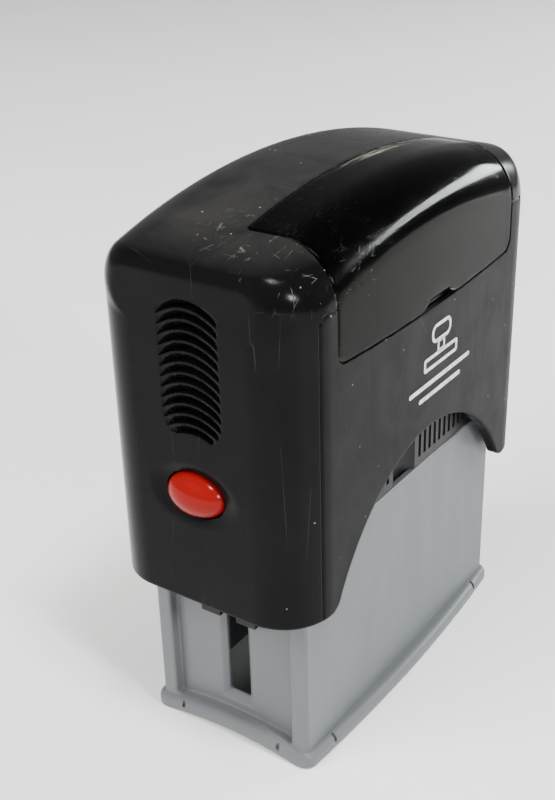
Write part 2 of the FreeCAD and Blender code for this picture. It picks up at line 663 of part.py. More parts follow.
def make_hood():
    hood = body("hood_body")
    plan = sketch_on(hood, "plan", "XY_Plane", "sizes.hood_low")
    rounded(plan, size("hood_length") / 2, size("hood_width") / 2, size("hood_corner"))
    pad(hood, plan, "sizes.crown_top - sizes.hood_low + sizes.overcut")

    # crown along X with round long edges
    doc.recompute()
    before = hood.Shape.Volume
    crown = sketch_on(hood, "crown", "YZ_Plane")
    top = size("crown_top")
    side = size("hood_width") / 2
    bend = size("hood_shoulder")
    lean = bend * math.sqrt(0.5)
    past = side + size("overcut")
    above = top + bend
    outline(crown, [
        arc((side, top - bend), (side - bend + lean, top - bend + lean), (side - bend, top)),
        line((side - bend, top), (-side + bend, top)),
        arc((-side + bend, top), (-side + bend - lean, top - bend + lean), (-side, top - bend)),
        line((-side, top - bend), (-past, top - bend)),
        line((-past, top - bend), (-past, above)),
        line((-past, above), (past, above)),
        line((past, above), (past, top - bend)),
        line((past, top - bend), (side, top - bend)),
    ])
    crown_axis(crown)
    groove = hood.newObject("PartDesign::Groove", "crown_groove")
    groove.Profile = crown
    groove.ReferenceAxis = (crown, ["Axis0"])
    groove.Midplane = True
    groove.Angle = CROWN_SWEEP
    hood.Tip = groove
    doc.recompute()
    if hood.Shape.Volume > before - LEAST_CUT:
        raise RuntimeError("the crown cuts nothing")

    # stepped cavity, open at the bottom
    wall = size("hood_wall")
    long_half = size("hood_length") / 2 - wall
    wide_half = size("hood_width") / 2 - wall
    steps = [
        ("wide_cavity", long_half, wide_half, size("hood_corner") - wall, "hood_low", "wide_top"),
        ("tower_cavity", long_half, size("tower_room_y"), size("tower_room_bend"), "wide_top", "cavity_top"),
        ("yoke_cavity", size("yoke_room_x"), size("yoke_room_y"), size("yoke_room_bend"),
         "cavity_top", "roof_low"),
    ]
    for name, half_x, half_y, corner, low, high in steps:
        cavity = sketch_on(hood, name, "XY_Plane", f"sizes.{low} - sizes.overcut")
        rounded(cavity, half_x, half_y, corner)
        pocket(hood, cavity, f"sizes.{high} - sizes.{low} + sizes.overcut", back=True)

    # bosses for the yoke screws
    bosses = sketch_on(hood, "bosses", "XY_Plane", "sizes.bar_high")
    holes = sketch_on(hood, "boss_holes", "XY_Plane", "sizes.bar_low")
    for sign in (-1, 1):
        spot = V(sign * size("boss_offset"), 0, 0)
        bosses.addGeometry(Part.Circle(spot, V(0, 0, 1), size("boss_radius")), False)
        holes.addGeometry(Part.Circle(spot, V(0, 0, 1), size("yoke_screw")), False)
    pad(hood, bosses, "sizes.roof_low - sizes.bar_high + sizes.root")
    pocket(hood, holes, "sizes.yoke_screw_long", back=True)

    # arched cut-out in both long faces
    arch = sketch_on(hood, "arch", "XZ_Plane")
    half = size("arch_half")
    foot = size("hood_low")
    apex = size("arch_top")
    radius = size("arch_radius")
    angle = math.radians(size("arch_turn"))
    shoulder_x = radius * math.sin(angle)
    shoulder_z = apex - radius * (1 - math.cos(angle))
    flank_x = (shoulder_x + half) / 2 + size("flank_out")
    flank_z = (shoulder_z + foot) / 2 + size("flank_up")
    inner_x = half - size("lip_inner")
    outer_x = half + size("lip_outer")
    lip_x = half + size("lip_bow_x")
    lip_z = foot + size("lip_bow_z")
    lip_top = foot + size("lip_height")
    below = foot - size("overcut")
    outline(arch, [
        arc((-shoulder_x, shoulder_z), (0, apex), (shoulder_x, shoulder_z)),
        arc((shoulder_x, shoulder_z), (flank_x, flank_z), (inner_x, lip_top)),
        arc((inner_x, lip_top), (lip_x, lip_z), (outer_x, foot)),
        line((outer_x, foot), (outer_x, below)),
        line((outer_x, below), (-outer_x, below)),
        line((-outer_x, below), (-outer_x, foot)),
        arc((-outer_x, foot), (-lip_x, lip_z), (-inner_x, lip_top)),
        arc((-inner_x, lip_top), (-flank_x, flank_z), (-shoulder_x, shoulder_z)),
    ])
    pocket(hood, arch, through=True)

    for sign, side_name in ((-1, "left"), (1, "right")):
        cut_end(hood, sign, side_name)

    cut_seams(hood)
    seat = window_part("window_seat", size("window_seat"), size("overcut"), size("fit_gap"), False)
    return cut("hood_shell", hood, seat)


def cut_seams(hood):
    """Fine parting line round the panel in each long face."""
    outer = size("seam_half") + size("seam_width") / 2
    inner = outer - size("seam_width")
    top = size("seam_top") + size("seam_width") / 2
    below = top - size("seam_width")
    foot = size("hood_low") - size("overcut")
    for sign, side_name in ((-1, "front"), (1, "back")):
        seam = sketch_on(hood, f"seam_{side_name}", "XZ_Plane", f"-{sign} * sizes.hood_width / 2")
        corners = [(-outer, foot), (-outer, top), (outer, top), (outer, foot),
                   (inner, foot), (inner, below), (-inner, below), (-inner, foot)]
        outline(seam, [line(corners[k - 1], corners[k]) for k in range(len(corners))])
        pocket(hood, seam, "sizes.seam_depth", back=sign > 0)


def cut_end(hood, sign, side_name):
    """Dish and hole for a lock button, and the ribbed finger grip."""
    face = f"{sign} * sizes.hood_length / 2"
    inward = sign < 0
    height = size("button_height")
    spots = [
        ("dish", size("dish_half_y"), size("dish_half_z"), "sizes.dish_depth"),
        ("button_hole", size("button_half_y") + size("button_gap"), size("button_half_z") + size("button_gap"),
         "sizes.hood_wall + sizes.overcut"),
    ]
    for name, half_y, half_z, depth in spots:
        oval = sketch_on(hood, f"{name}_{side_name}", "YZ_Plane", face)
        oval.addGeometry(Part.Ellipse(V(0, height, 0), half_y, half_z), False)
        pocket(hood, oval, depth, back=inward)

    grip = sketch_on(hood, f"grip_{side_name}", "YZ_Plane", face)
    middle = size("grip_middle")
    half = size("grip_half")
    sag = size("grip_sag")
    low = size("grip_low")
    high = size("grip_high")
    left, right = (middle - half, middle + half)
    outline(grip, [
        line((right, low + 2 * sag), (right, high - sag)),
        arc((right, high - sag), (middle, high), (left, high - sag)),
        line((left, high - sag), (left, low + 2 * sag)),
        arc((left, low + 2 * sag), (middle, low), (right, low + 2 * sag)),
    ])
    pocket(hood, grip, "sizes.grip_depth", back=inward)

    ribs = sketch_on(hood, f"ribs_{side_name}", "YZ_Plane",
                     f"{sign} * (sizes.hood_length / 2 - sizes.rib_inset)")
    thick = size("rib_thick")
    for k in range(RIBS):
        crest = size("rib_first") + k * size("rib_pitch")
        reach = rib_reach(crest)
        drop = sag * (reach / half) ** 2
        left, right = (middle - reach, middle + reach)
        outline(ribs, [
            arc((right, crest - drop), (middle, crest), (left, crest - drop)),
            line((left, crest - drop), (left, crest - drop - thick)),
            arc((left, crest - drop - thick), (middle, crest - thick), (right, crest - drop - thick)),
            line((right, crest - drop - thick), (right, crest - drop)),
        ])
    pad(hood, ribs, "sizes.grip_depth - sizes.rib_inset + sizes.rib_root", back=not inward)


def rib_reach(crest):
    """Half length of a rib with its ends in the side walls of the grip, whose foot is rounded."""
    round_high = 2 * size("grip_sag")
    share = max(0, 1 - (crest - size("grip_low")) / (2 * round_high))
    return size("grip_half") * math.sqrt(1 - share ** 2) + size("rib_bite")


# ---------------------------------------------------------------- parts inside

def make_bridge():
    """Plate between the towers with a cup for the main spring."""
    plate = box("bridge_plate", ("-sizes.end_inside", "sizes.end_inside"),
                ("-sizes.insert_half", "sizes.insert_half"), ("sizes.bridge_low", "sizes.bridge_high"))
    cup = rod("bridge_cup", "sizes.cup_radius", "sizes.bridge_low - sizes.spring_low + sizes.cup_floor",
              z="sizes.spring_low - sizes.cup_floor")
    bore = rod("bridge_bore", "sizes.cup_bore", "sizes.bridge_high - sizes.spring_low + sizes.overcut",
               z="sizes.spring_low")
    holes = screw_row("bridge_hole", "sizes.screw_radius",
                      "sizes.end_inside - sizes.screw_bite - sizes.overcut",
                      "sizes.screw_bite + 2 * sizes.overcut", "sizes.screw_height")
    return cut("spring_bridge", fuse("bridge_block", [plate, cup]), fuse("bridge_holes", [bore] + holes))


def make_bridge_screws():
    wall = "sizes.base_length / 2 - sizes.recess_depth"
    shanks = screw_row("bridge_shank", "sizes.screw_radius", "sizes.end_inside - sizes.screw_bite",
                       f"{wall} - sizes.end_inside + sizes.screw_bite", "sizes.screw_height")
    heads = screw_row("bridge_head", "sizes.screw_head", wall, "sizes.screw_cap", "sizes.screw_height")
    pieces = [fuse(f"bridge_screw_{k}", [shanks[k], heads[k]]) for k in range(len(shanks))]
    return group("bridge_screws", pieces)


def make_cartridge():
    """Ink tray that slides in between the towers, with ribbed thumb faces."""
    ends = ("-sizes.tray_half", "sizes.tray_half")
    step = "sizes.base_sill + sizes.sill_gap"
    over = "sizes.tray_high + sizes.overcut"
    skirt = box("tray_skirt", ends, ("-sizes.insert_half", "sizes.insert_half"), ("sizes.tray_low", step))
    upper = box("tray_upper", ends, ("-sizes.tray_half_y", "sizes.tray_half_y"), (step, "sizes.tray_high"))
    cuts = [
        box("pad_well", ("-sizes.pad_half_x - sizes.pad_gap", "sizes.pad_half_x + sizes.pad_gap"),
            ("-sizes.pad_half_y - sizes.pad_gap", "sizes.pad_half_y + sizes.pad_gap"),
            ("sizes.tray_low - sizes.overcut", "sizes.pad_high")),
        box("ink_well", ("-sizes.ink_half_x", "sizes.ink_half_x"), ("-sizes.ink_half_y", "sizes.ink_half_y"),
            ("sizes.ink_low", over)),
    ]
    for side in (-1, 1):
        cuts.append(rod(f"thumb_{side + 1}", "sizes.thumb_radius", "sizes.thumb_depth",
                        x="sizes.thumb_middle", y=f"{side} * sizes.thumb_offset", z="sizes.base_sill"))
        faces = spread(side, "sizes.thumb_face", "sizes.tray_half_y + sizes.root")
        for k in range(THUMB_SLOTS):
            for way in (-1, 1):
                place = f"sizes.thumb_middle + {way} * (sizes.thumb_first + {k} * sizes.thumb_pitch)"
                cuts.append(box(f"thumb_slot_{len(cuts)}",
                                (f"{place} - sizes.thumb_slot / 2", f"{place} + sizes.thumb_slot / 2"), faces,
                                ("sizes.base_sill + sizes.thumb_low", over)))
    return cut("ink_cartridge", fuse("tray_block", [skirt, upper]), fuse("tray_cuts", cuts))


def make_pad():
    return box("ink_pad", ("-sizes.pad_half_x", "sizes.pad_half_x"), ("-sizes.pad_half_y", "sizes.pad_half_y"),
               ("sizes.pad_low", "sizes.pad_high"))


def make_spring():
    """Main spring between the bridge and the roof of the hood."""
    one_turn = 1
    rise = "(sizes.spring_high - sizes.spring_low - 2 * sizes.wire_radius)"
    coil = doc.addObject("Part::Helix", "coil")
    bind(coil, Radius="sizes.spring_radius", Pitch=f"{rise} / {COILS}", Height=rise)
    coil.SegmentLength = one_turn
    at(coil, z="sizes.spring_low + sizes.wire_radius")
    wire = doc.addObject("Part::Circle", "wire")
    wire.Placement = FreeCAD.Placement(V(), FreeCAD.Rotation(V(1, 0, 0), 90))
    bind(wire, Radius="sizes.wire_radius")
    at(wire, x="sizes.spring_radius", z="sizes.spring_low + sizes.wire_radius")
    spring = doc.addObject("Part::Sweep", "main_spring")
    spring.Sections = [wire]
    spring.Spine = (coil, [])
    spring.Solid = True
    spring.Frenet = True
    return spring


def make_spring_guide():
    """Stud under the roof that keeps the spring straight."""
    stud = rod("guide_stud", "sizes.guide_radius", "sizes.spring_high - sizes.guide_low", z="sizes.guide_low")
    flange = rod("guide_flange", "sizes.guide_flange", "sizes.roof_low - sizes.spring_high",
                 z="sizes.spring_high")
    return fuse("spring_guide", [stud, flange])


def make_yoke():
    """Inverted U that carries the die plate down with the hood; its arms snap over the axle pins."""
    sides = ("-sizes.arm_half", "sizes.arm_half")
    reach = "sizes.arm_outer + sizes.overcut"
    below = "sizes.bar_low - sizes.overcut"
    through = "sizes.bar_high - sizes.bar_low + 2 * sizes.overcut"
    arms = []
    holes = [rod("yoke_bore", "sizes.yoke_bore", through, z=below)]
    for sign in (-1, 1):
        arms.append(box(f"yoke_arm_{sign + 1}", spread(sign, "sizes.arm_inner", "sizes.arm_outer"), sides,
                        ("sizes.arm_low", "sizes.bar_high")))
        holes.append(rod(f"yoke_screw_hole_{sign + 1}", "sizes.yoke_screw", through,
                         x=f"{sign} * sizes.boss_offset", z=below))
    bar = box("yoke_bar", ("-sizes.arm_outer", "sizes.arm_outer"), ("-sizes.bar_half", "sizes.bar_half"),
              ("sizes.bar_low", "sizes.bar_high"))
    holes.append(rod("yoke_axle_hole", "sizes.axle_radius + sizes.axle_play", f"2 * ({reach})",
                     x=f"-({reach})", z="sizes.axle_height", along="X"))
    holes.append(box("yoke_mouth", (f"-({reach})", reach), ("-sizes.mouth_half", "sizes.mouth_half"),
                     ("sizes.arm_low - sizes.overcut", "sizes.axle_height")))
    return cut("yoke", fuse("yoke_block", arms + [bar]), fuse("yoke_holes", holes))


def make_yoke_screws():
    pieces = []
    for sign in (-1, 1):
        place = f"{sign} * sizes.boss_offset"
        shank = rod(f"yoke_shank_{sign + 1}", "sizes.yoke_screw", "sizes.yoke_screw_long", x=place,
                    z="sizes.bar_low")
        head = rod(f"yoke_head_{sign + 1}", "sizes.yoke_head", "sizes.yoke_head_high", x=place,
                   z="sizes.bar_low - sizes.yoke_head_high")
        pieces.append(fuse(f"yoke_screw_{sign + 1}", [shank, head]))
    return group("yoke_screws", pieces)


def make_button(mirror):
    """Oval red cap of a lock button; the dome faces outwards."""
    turn = FreeCAD.Rotation(V(0, 1, 0), V(0, 0, -1), V(-1, 0, 0), "ZXY")
    foot = "-(sizes.hood_length / 2 - sizes.dish_depth + sizes.button_root)"
    dome = doc.addObject("Part::Ellipsoid", "button_dome")
    dome.Placement = FreeCAD.Placement(V(), turn)
    bind(dome, Radius1="sizes.button_stand - sizes.button_root", Radius2="sizes.button_half_y",
         Radius3="sizes.button_half_z")
    dome.Angle1 = 0
    at(dome, x=foot, z="sizes.button_height")
    ring = doc.addObject("Part::Ellipse", "button_oval")
    ring.Placement = FreeCAD.Placement(V(), turn)
    bind(ring, MajorRadius="sizes.button_half_y", MinorRadius="sizes.button_half_z")
    at(ring, x=foot, z="sizes.button_height")
    stem = doc.addObject("Part::Extrusion", "button_stem")
    stem.Base = ring
    stem.Dir = V(1, 0, 0)
    stem.Solid = True
    bind(stem, LengthFwd="sizes.hood_wall - sizes.dish_depth + sizes.button_root + sizes.latch_gap")
    return both_ends("button_cap", fuse("button_cap_left", [dome, stem]), mirror)


def both_ends(name, left, mirror):
    mirrored = doc.addObject("Part::Mirroring", name + "_right")
    mirrored.Source = left
    mirrored.Normal = V(1, 0, 0)
    mirror.append(mirrored)
    return left


def make_latch(mirror):
    """Plate behind the end wall with two teeth that reach under the catches."""
    back = "-(sizes.hood_length / 2 - sizes.hood_wall - sizes.latch_gap)"
    front = f"{back} + sizes.latch_thick"
    half_y = "(sizes.button_half_y + sizes.latch_side)"
    height = "sizes.button_height"
    plate = box("latch_plate", (back, front), (f"-{half_y}", half_y),
                (f"{height} - sizes.latch_half_z", f"{height} + sizes.latch_half_z"))
    teeth = []
    for side in (-1, 1):
        teeth.append(box(f"latch_tooth_{side + 1}", (front, "-sizes.tooth_tip"),
                         spread(side, "sizes.tooth_near", "sizes.tooth_far"),
                         (f"{height} - sizes.tooth_half_z", f"{height} + sizes.tooth_half_z")))
    return both_ends("lock_latch", fuse("lock_latch_left", [plate] + teeth), mirror)


# ---------------------------------------------------------------- die and its plate

def level(alias):
    """Height of a feature given from the axle, with the die facing the pad."""
    return f"sizes.axle_height + sizes.{alias}"


def make_die_plate():
    axle = "sizes.axle_height"
    pins = level("pin_level")
    slab = box("plate_slab", ("-sizes.plate_half_x", "sizes.plate_half_x"),
               ("-sizes.plate_half_y", "sizes.plate_half_y"), (level("plate_low"), level("plate_high")))
    solids = [slab]
    rib_sides = ("sizes.plate_rib_y - sizes.plate_rib / 2", "sizes.plate_rib_y + sizes.plate_rib / 2")
    for side in (-1, 1):
        solids.append(box(f"plate_rib_{side + 1}", ("-sizes.hub_inner", "sizes.hub_inner"),
                          spread(side, *rib_sides), (level("plate_rib_low"), level("plate_low"))))
        hub = spread(side, "sizes.hub_inner", "sizes.plate_half_x")
        solids.append(box(f"plate_web_{side + 1}", hub, ("-sizes.hub_radius", "sizes.hub_radius"),
                          (axle, level("plate_low"))))
        solids.append(rod(f"plate_hub_{side + 1}", "sizes.hub_radius", "sizes.plate_half_x - sizes.hub_inner",
                          x=hub[0], z=axle, along="X"))
    bite = "sizes.plate_half_x - sizes.pin_bite"
    holes = [
        rod("plate_axle_hole", "sizes.axle_radius", "2 * sizes.end_inside", x="-sizes.end_inside", z=axle,
            along="X"),
        rod("plate_pin_left", "sizes.pin_radius", "sizes.pin_bite", x="-sizes.plate_half_x", z=pins, along="X"),
        rod("plate_pin_right", "sizes.pin_radius", "sizes.pin_bite", x=bite, z=pins, along="X"),
    ]
    return cut("die_plate", fuse("plate_block", solids), fuse("plate_holes", holes))


def make_axle_pins():
    length = "sizes.arm_outer - sizes.hub_inner"
    left = rod("axle_pin_left", "sizes.axle_radius", length, x="-sizes.arm_outer", z="sizes.axle_height",
               along="X")
    right = rod("axle_pin_right", "sizes.axle_radius", length, x="sizes.hub_inner", z="sizes.axle_height",
                along="X")
    return group("axle_pins", [left, right])


def make_turn_pins():
    """Pins beside the guide rails, which turn the plate over on its way down."""
    length = "sizes.pin_bite + sizes.pin_out"
    tip = "-sizes.plate_half_x - sizes.pin_out"
    bite = "sizes.plate_half_x - sizes.pin_bite"
    left = rod("turn_pin_left", "sizes.pin_radius", length, x=tip, z=level("pin_level"), along="X")
    right = rod("turn_pin_right", "sizes.pin_radius", length, x=bite, z=level("pin_level"), along="X")
    return group("turn_pins", [left, right])


def print_sheet(name, low, high):
    """Flat block with the outline of the print."""
    return box(name, ("-sizes.print_length / 2", "sizes.print_length / 2"),
               ("-sizes.print_width / 2", "sizes.print_width / 2"), (level(low), level(high)))


def make_rubber_die():
    """Rubber sheet with a plain border and three bars in relief."""
    solids = [print_sheet("die_sheet", "cushion_high", "sheet_high")]
    relief = (level("sheet_high"), level("die_reach"))
    inner_x = "sizes.border_x - sizes.border_wide"
    inner_y = "sizes.border_y - sizes.border_wide"
    for sign in (-1, 1):
        solids.append(box(f"die_border_y{sign + 1}", ("-sizes.border_x", "sizes.border_x"),
                          spread(sign, inner_y, "sizes.border_y"), relief))
        solids.append(box(f"die_border_x{sign + 1}", spread(sign, inner_x, "sizes.border_x"),
                          ("-sizes.border_y", "sizes.border_y"), relief))
    for middle, reach in DIE_BARS:
        solids.append(box(f"die_bar_{reach}", (f"-{reach}", f"{reach}"),
                          (f"{middle} - sizes.bar_wide / 2", f"{middle} + sizes.bar_wide / 2"), relief))
    return fuse("rubber_die", solids)


mirrored = []
nodes = [
    make_base_frame(),
    make_bridge(),
    make_bridge_screws(),
    make_cartridge(),
    make_pad(),
    make_spring(),
    make_hood(),
    window_part("index_window", size("window_skin"), 0.0, 0.0, True),
    make_yoke(),
    make_yoke_screws(),
    make_spring_guide(),
    make_button(mirrored),
    make_latch(mirrored),
    make_die_plate(),
    make_axle_pins(),
    make_turn_pins(),
    print_sheet("die_cushion", "plate_high", "cushion_high"),
    make_rubber_die(),
] + mirrored

doc.recompute()
for thing in doc.Objects:
    if "Invalid" in thing.State or "Error" in thing.State:
        raise RuntimeError(f"{thing.Name} failed: {thing.State}")
for node in nodes:
    if node.Shape.isNull() or not node.Shape.isValid():
        raise RuntimeError(f"{node.Label} is not a sound shape")

os.makedirs("parts", exist_ok=True)
for node in nodes:
    node.Shape.exportStep(f"parts/{node.Label}.step")
    print(node.Label, len(node.Shape.Solids), round(node.Shape.Volume, 1), node.Shape.BoundBox)
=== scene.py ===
"""Looks of a self-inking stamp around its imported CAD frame.

Fields, sizes and places are in millimetres in the row frame: +X along the print, the marked face
towards -Y, the base standing on z = 0.  A field is negative inside its solid.
"""

import math

import bpy
import numpy as np
from mathutils import Matrix, Vector


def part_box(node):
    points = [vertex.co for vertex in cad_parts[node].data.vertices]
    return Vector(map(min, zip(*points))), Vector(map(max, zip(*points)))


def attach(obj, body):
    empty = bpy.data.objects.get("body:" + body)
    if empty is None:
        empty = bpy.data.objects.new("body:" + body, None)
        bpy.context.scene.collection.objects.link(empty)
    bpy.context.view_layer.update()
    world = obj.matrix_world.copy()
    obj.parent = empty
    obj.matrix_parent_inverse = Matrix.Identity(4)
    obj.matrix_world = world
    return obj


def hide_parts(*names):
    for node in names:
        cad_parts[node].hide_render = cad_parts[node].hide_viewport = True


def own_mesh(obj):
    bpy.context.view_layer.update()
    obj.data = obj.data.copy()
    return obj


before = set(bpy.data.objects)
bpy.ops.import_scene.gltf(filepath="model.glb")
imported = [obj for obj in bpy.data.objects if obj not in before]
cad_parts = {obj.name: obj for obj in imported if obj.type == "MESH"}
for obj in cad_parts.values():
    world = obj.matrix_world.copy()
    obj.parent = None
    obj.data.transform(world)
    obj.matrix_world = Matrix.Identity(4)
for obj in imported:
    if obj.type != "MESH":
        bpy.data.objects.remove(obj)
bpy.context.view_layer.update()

MM = 1000.0


def limits(node):
    """Lowest and highest corner of a CAD piece, in millimetres."""
    low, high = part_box(node)
    return np.array(low) * MM, np.array(high) * MM


# ---------------------------------------------------------------- fields

LEAST_SLOPE = 1e-6
LEAST_NORMAL = 1e-9

def both(a, b, radius=0.0):
    """Common part of two solids, with the edge between them rounded."""
    if radius == 0:
        return np.maximum(a, b)
    u = a + radius
    v = b + radius
    return np.hypot(np.maximum(u, 0), np.maximum(v, 0)) + np.minimum(np.maximum(u, v), 0) - radius


def every(first, *others):
    """Common part of several solids."""
    for other in others:
        first = np.maximum(first, other)
    return first


def without(solid, tool, radius=0.0):
    """The solid with the tool taken away, and the new edge rounded."""
    return both(solid, -tool, radius)


def slab(u, low, high):
    """Layer between two parallel planes."""
    return np.maximum(low - u, u - high)


def brick(x, y, z, low, high):
    """Block between two corners."""
    return every(slab(x, low[0], high[0]), slab(y, low[1], high[1]), slab(z, low[2], high[2]))


def oval(u, v, half_u, half_v):
    """Endless elliptical rod."""
    near = np.hypot(u / half_u, v / half_v)
    steep = np.hypot(u / half_u ** 2, v / half_v ** 2)
    return near * (near - 1) / np.maximum(steep, LEAST_SLOPE)


def ellipsoid(u, v, w, half_u, half_v, half_w):
    """Ellipsoid round the origin."""
    near = np.sqrt((u / half_u) ** 2 + (v / half_v) ** 2 + (w / half_w) ** 2)
    steep = np.sqrt((u / half_u ** 2) ** 2 + (v / half_v ** 2) ** 2 + (w / half_w ** 2) ** 2)
    return near * (near - 1) / np.maximum(steep, LEAST_SLOPE)


# ---------------------------------------------------------------- meshing a field

BLOCK = 6
CHUNK = 400000
SAFETY = 1.7
MARGIN = 2.3
SLOPE_REACH = 0.03
PULL_TO_MIDDLE = 0.06
CREASE = 38


def evaluate(field, points):
    """Field at many points, in chunks that fit the processor's cache."""
    parts = []
    for start in range(0, len(points), CHUNK):
        x, y, z = points[start:start + CHUNK].T
        parts.append(field(x, y, z))
    return np.concatenate(parts) if parts else np.zeros(0)


def slopes(field, points, reach):
    """Unit normals of a field, from four samples round each point."""
    corners = np.array([(1, -1, -1), (-1, -1, 1), (-1, 1, -1), (1, 1, 1)], float)
    total = np.zeros_like(points)
    for corner in corners:
        total += corner * evaluate(field, points + corner * reach)[:, None]
    return total / np.maximum(np.linalg.norm(total, axis=1), LEAST_NORMAL)[:, None]


def sample_near_surface(field, low, step, blocks):
    """Field on a grid, worked out only in the blocks that the surface passes through."""
    index = np.stack(np.meshgrid(*[np.arange(n) for n in blocks], indexing="ij"), -1).reshape(-1, 3)
    middle = low + (index * BLOCK + (BLOCK - 1) / 2) * step
    coarse = evaluate(field, middle)
    near = np.abs(coarse) < SAFETY * BLOCK * step * math.sqrt(3) / 2
    grid = coarse.reshape(blocks)
    for axis in range(3):
        grid = np.repeat(grid, BLOCK, axis=axis)
    offsets = np.stack(np.meshgrid(*[np.arange(BLOCK)] * 3, indexing="ij"), -1).reshape(-1, 3)
    cells = (index[near][:, None, :] * BLOCK + offsets[None]).reshape(-1, 3)
    grid[tuple(cells.T)] = evaluate(field, low + cells * step)
    return grid


def crossings(grid, axis):
    """Grid edges along one axis that cross the surface: start, share of the step, and which way."""
    after = np.roll(grid, -1, axis)
    cross = (grid < 0) != (after < 0)
    last = [slice(None)] * 3
    last[axis] = -1
    cross[tuple(last)] = False
    start = np.argwhere(cross)
    a = grid[tuple(start.T)]
    b = after[tuple(start.T)]
    return start, a / (a - b), a < 0


def mesh_of(field, low, high, step):
    """Corner points and quads of a field's surface; each point settles on the planes round it."""
    low = np.array(low, float) - MARGIN * step
    reach = np.array(high, float) + MARGIN * step - low
    blocks = np.ceil(reach / (step * BLOCK)).astype(int) + 1
    grid = sample_near_surface(field, low, step, blocks)
    shape = np.array(grid.shape)
    spots, cells, outward = [], [], []
    for axis in range(3):
        start, share, leaves = crossings(grid, axis)
        spot = start.astype(float)
        spot[:, axis] += share
        u, v = (axis + 1) % 3, (axis + 2) % 3
        ring = []
        for du, dv in ((-1, -1), (0, -1), (0, 0), (-1, 0)):
            cell = start.copy()
            cell[:, u] += du
            cell[:, v] += dv
            ring.append(np.ravel_multi_index(cell.T, shape, mode="clip"))
        spots.append(spot)
        cells.append(np.stack(ring, 1))
        outward.append(leaves)
    spots = low + np.concatenate(spots) * step
    rings = np.concatenate(cells)
    outward = np.concatenate(outward)
    normals = slopes(field, spots, SLOPE_REACH * step)

    cell_ids, corner = np.unique(rings.ravel(), return_inverse=True)
    count = len(cell_ids)
    edge = np.repeat(np.arange(len(spots)), 4)

    def gather(values):
        return np.bincount(corner, values[edge], count)

    share = gather(np.ones(len(spots)))
    middle = np.stack([gather(spots[:, k]) for k in range(3)], 1) / share[:, None]
    lift = spots[edge] - middle[corner]
    height = (lift * normals[edge]).sum(1)
    matrix = np.empty((count, 3, 3))
    right = np.empty((count, 3))
    for i in range(3):
        right[:, i] = np.bincount(corner, normals[edge, i] * height, count)
        for j in range(3):
            matrix[:, i, j] = gather(normals[:, i] * normals[:, j])
    matrix += PULL_TO_MIDDLE * np.eye(3)
    points = middle + np.linalg.solve(matrix, right[:, :, None])[:, :, 0]
    cell_low = low + np.stack(np.unravel_index(cell_ids, shape), 1) * step
    points = np.clip(points, cell_low, cell_low + step)

    quads = corner.reshape(-1, 4)
    quads[~outward] = quads[~outward][:, ::-1]
    return points, quads


def add_mesh(name, points, faces, crease):
    """Object from points in millimetres and faces of one size, smooth but for its creases."""
    mesh = bpy.data.meshes.new(name)
    faces = np.asarray(faces)
    mesh.vertices.add(len(points))
    mesh.vertices.foreach_set("co", (np.asarray(points) / MM).astype(np.float32).ravel())
    mesh.loops.add(faces.size)
    mesh.loops.foreach_set("vertex_index", faces.astype(np.int32).ravel())
    mesh.polygons.add(len(faces))
    mesh.polygons.foreach_set("loop_start", np.arange(0, faces.size, faces.shape[1], dtype=np.int32))
    mesh.update(calc_edges=True)
    mesh.validate()
    mesh.shade_smooth()
    mesh.set_sharp_from_angle(angle=math.radians(crease))
    piece = bpy.data.objects.new(name, mesh)
    bpy.context.scene.collection.objects.link(piece)
    return piece


def solid(name, field, low, high, step, crease=CREASE):
    """Object with the shape of a field."""
    points, quads = mesh_of(field, low, high, step)
    return add_mesh(name, points, quads, crease)


def fit_out(piece, body, nodes, finish):
    """Give a finished piece its material and its body, and hide the CAD nodes it stands for."""
    piece.data.materials.append(finish)
    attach(piece, body)
    if nodes:
        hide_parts(*nodes)
    return piece


# ---------------------------------------------------------------- hood

hood_low, hood_high = limits("hood_shell")
CROWN_RADIUS = 118.0
CROWN_CENTRE = hood_high[2] - CROWN_RADIUS
SHOULDER = 8.4
CORNER = 8.2
END_EDGE = 2.0
HOOD_WALL = 1.8
WIDE_TOP = 64.0
TOWER_ROOM = (33.4, 14.2, 72.3)
TOWER_BEND = 5.1
YOKE_ROOM = (29.6, 9.0, 78.0)
BOSS_OFFSET = 20.0
BOSS_RADIUS = 3.0
BOSS_LOW = 76.0

ARCH_TOP = 45.7
ARCH_RADIUS = 26.0
ARCH_TURN = math.radians(36)
FLANK_RADIUS = 33.8
ARCH_CENTRE = ARCH_TOP - ARCH_RADIUS

SEAM_HALF = 29.2
SEAM_TOP = 73.8
SEAM_BEND = 1.2
SEAM_WIDTH = 0.24
SEAM_DEPTH = 0.24

# roundings of the hood's edges, and how far out the cuts in its faces and ends start
FOOT_BEND = 1.5
FOOT_EDGE = 0.35
SEAT_EDGE = 0.12
DISH_EDGE = 0.3
HOLE_EDGE = 0.1
HOLE_DEPTH = 5.0
FACE_FROM = 15.0
END_FROM = 20.0


def hood_skin(x, y, z):
    """Outside of the hood: round upright corners that shrink to a fine edge over the ends."""
    side = np.abs(y) - hood_high[1]
    over = np.hypot(x, z - CROWN_CENTRE) - CROWN_RADIUS
    section = both(side, over, SHOULDER)
    turn = np.arctan2(np.maximum(over + SHOULDER, 0), np.maximum(side + SHOULDER, 0))
    turn = turn / (math.pi / 2)
    ease = turn * turn * (3 - 2 * turn)
    u = section + CORNER + (END_EDGE - CORNER) * ease
    v = np.abs(x) - hood_high[0] + CORNER + (END_EDGE - CORNER) * ease
    corner = np.hypot(np.maximum(u, 0), np.maximum(v, 0)) + np.minimum(np.maximum(u, v), 0)
    return corner - CORNER - (END_EDGE - CORNER) * ease


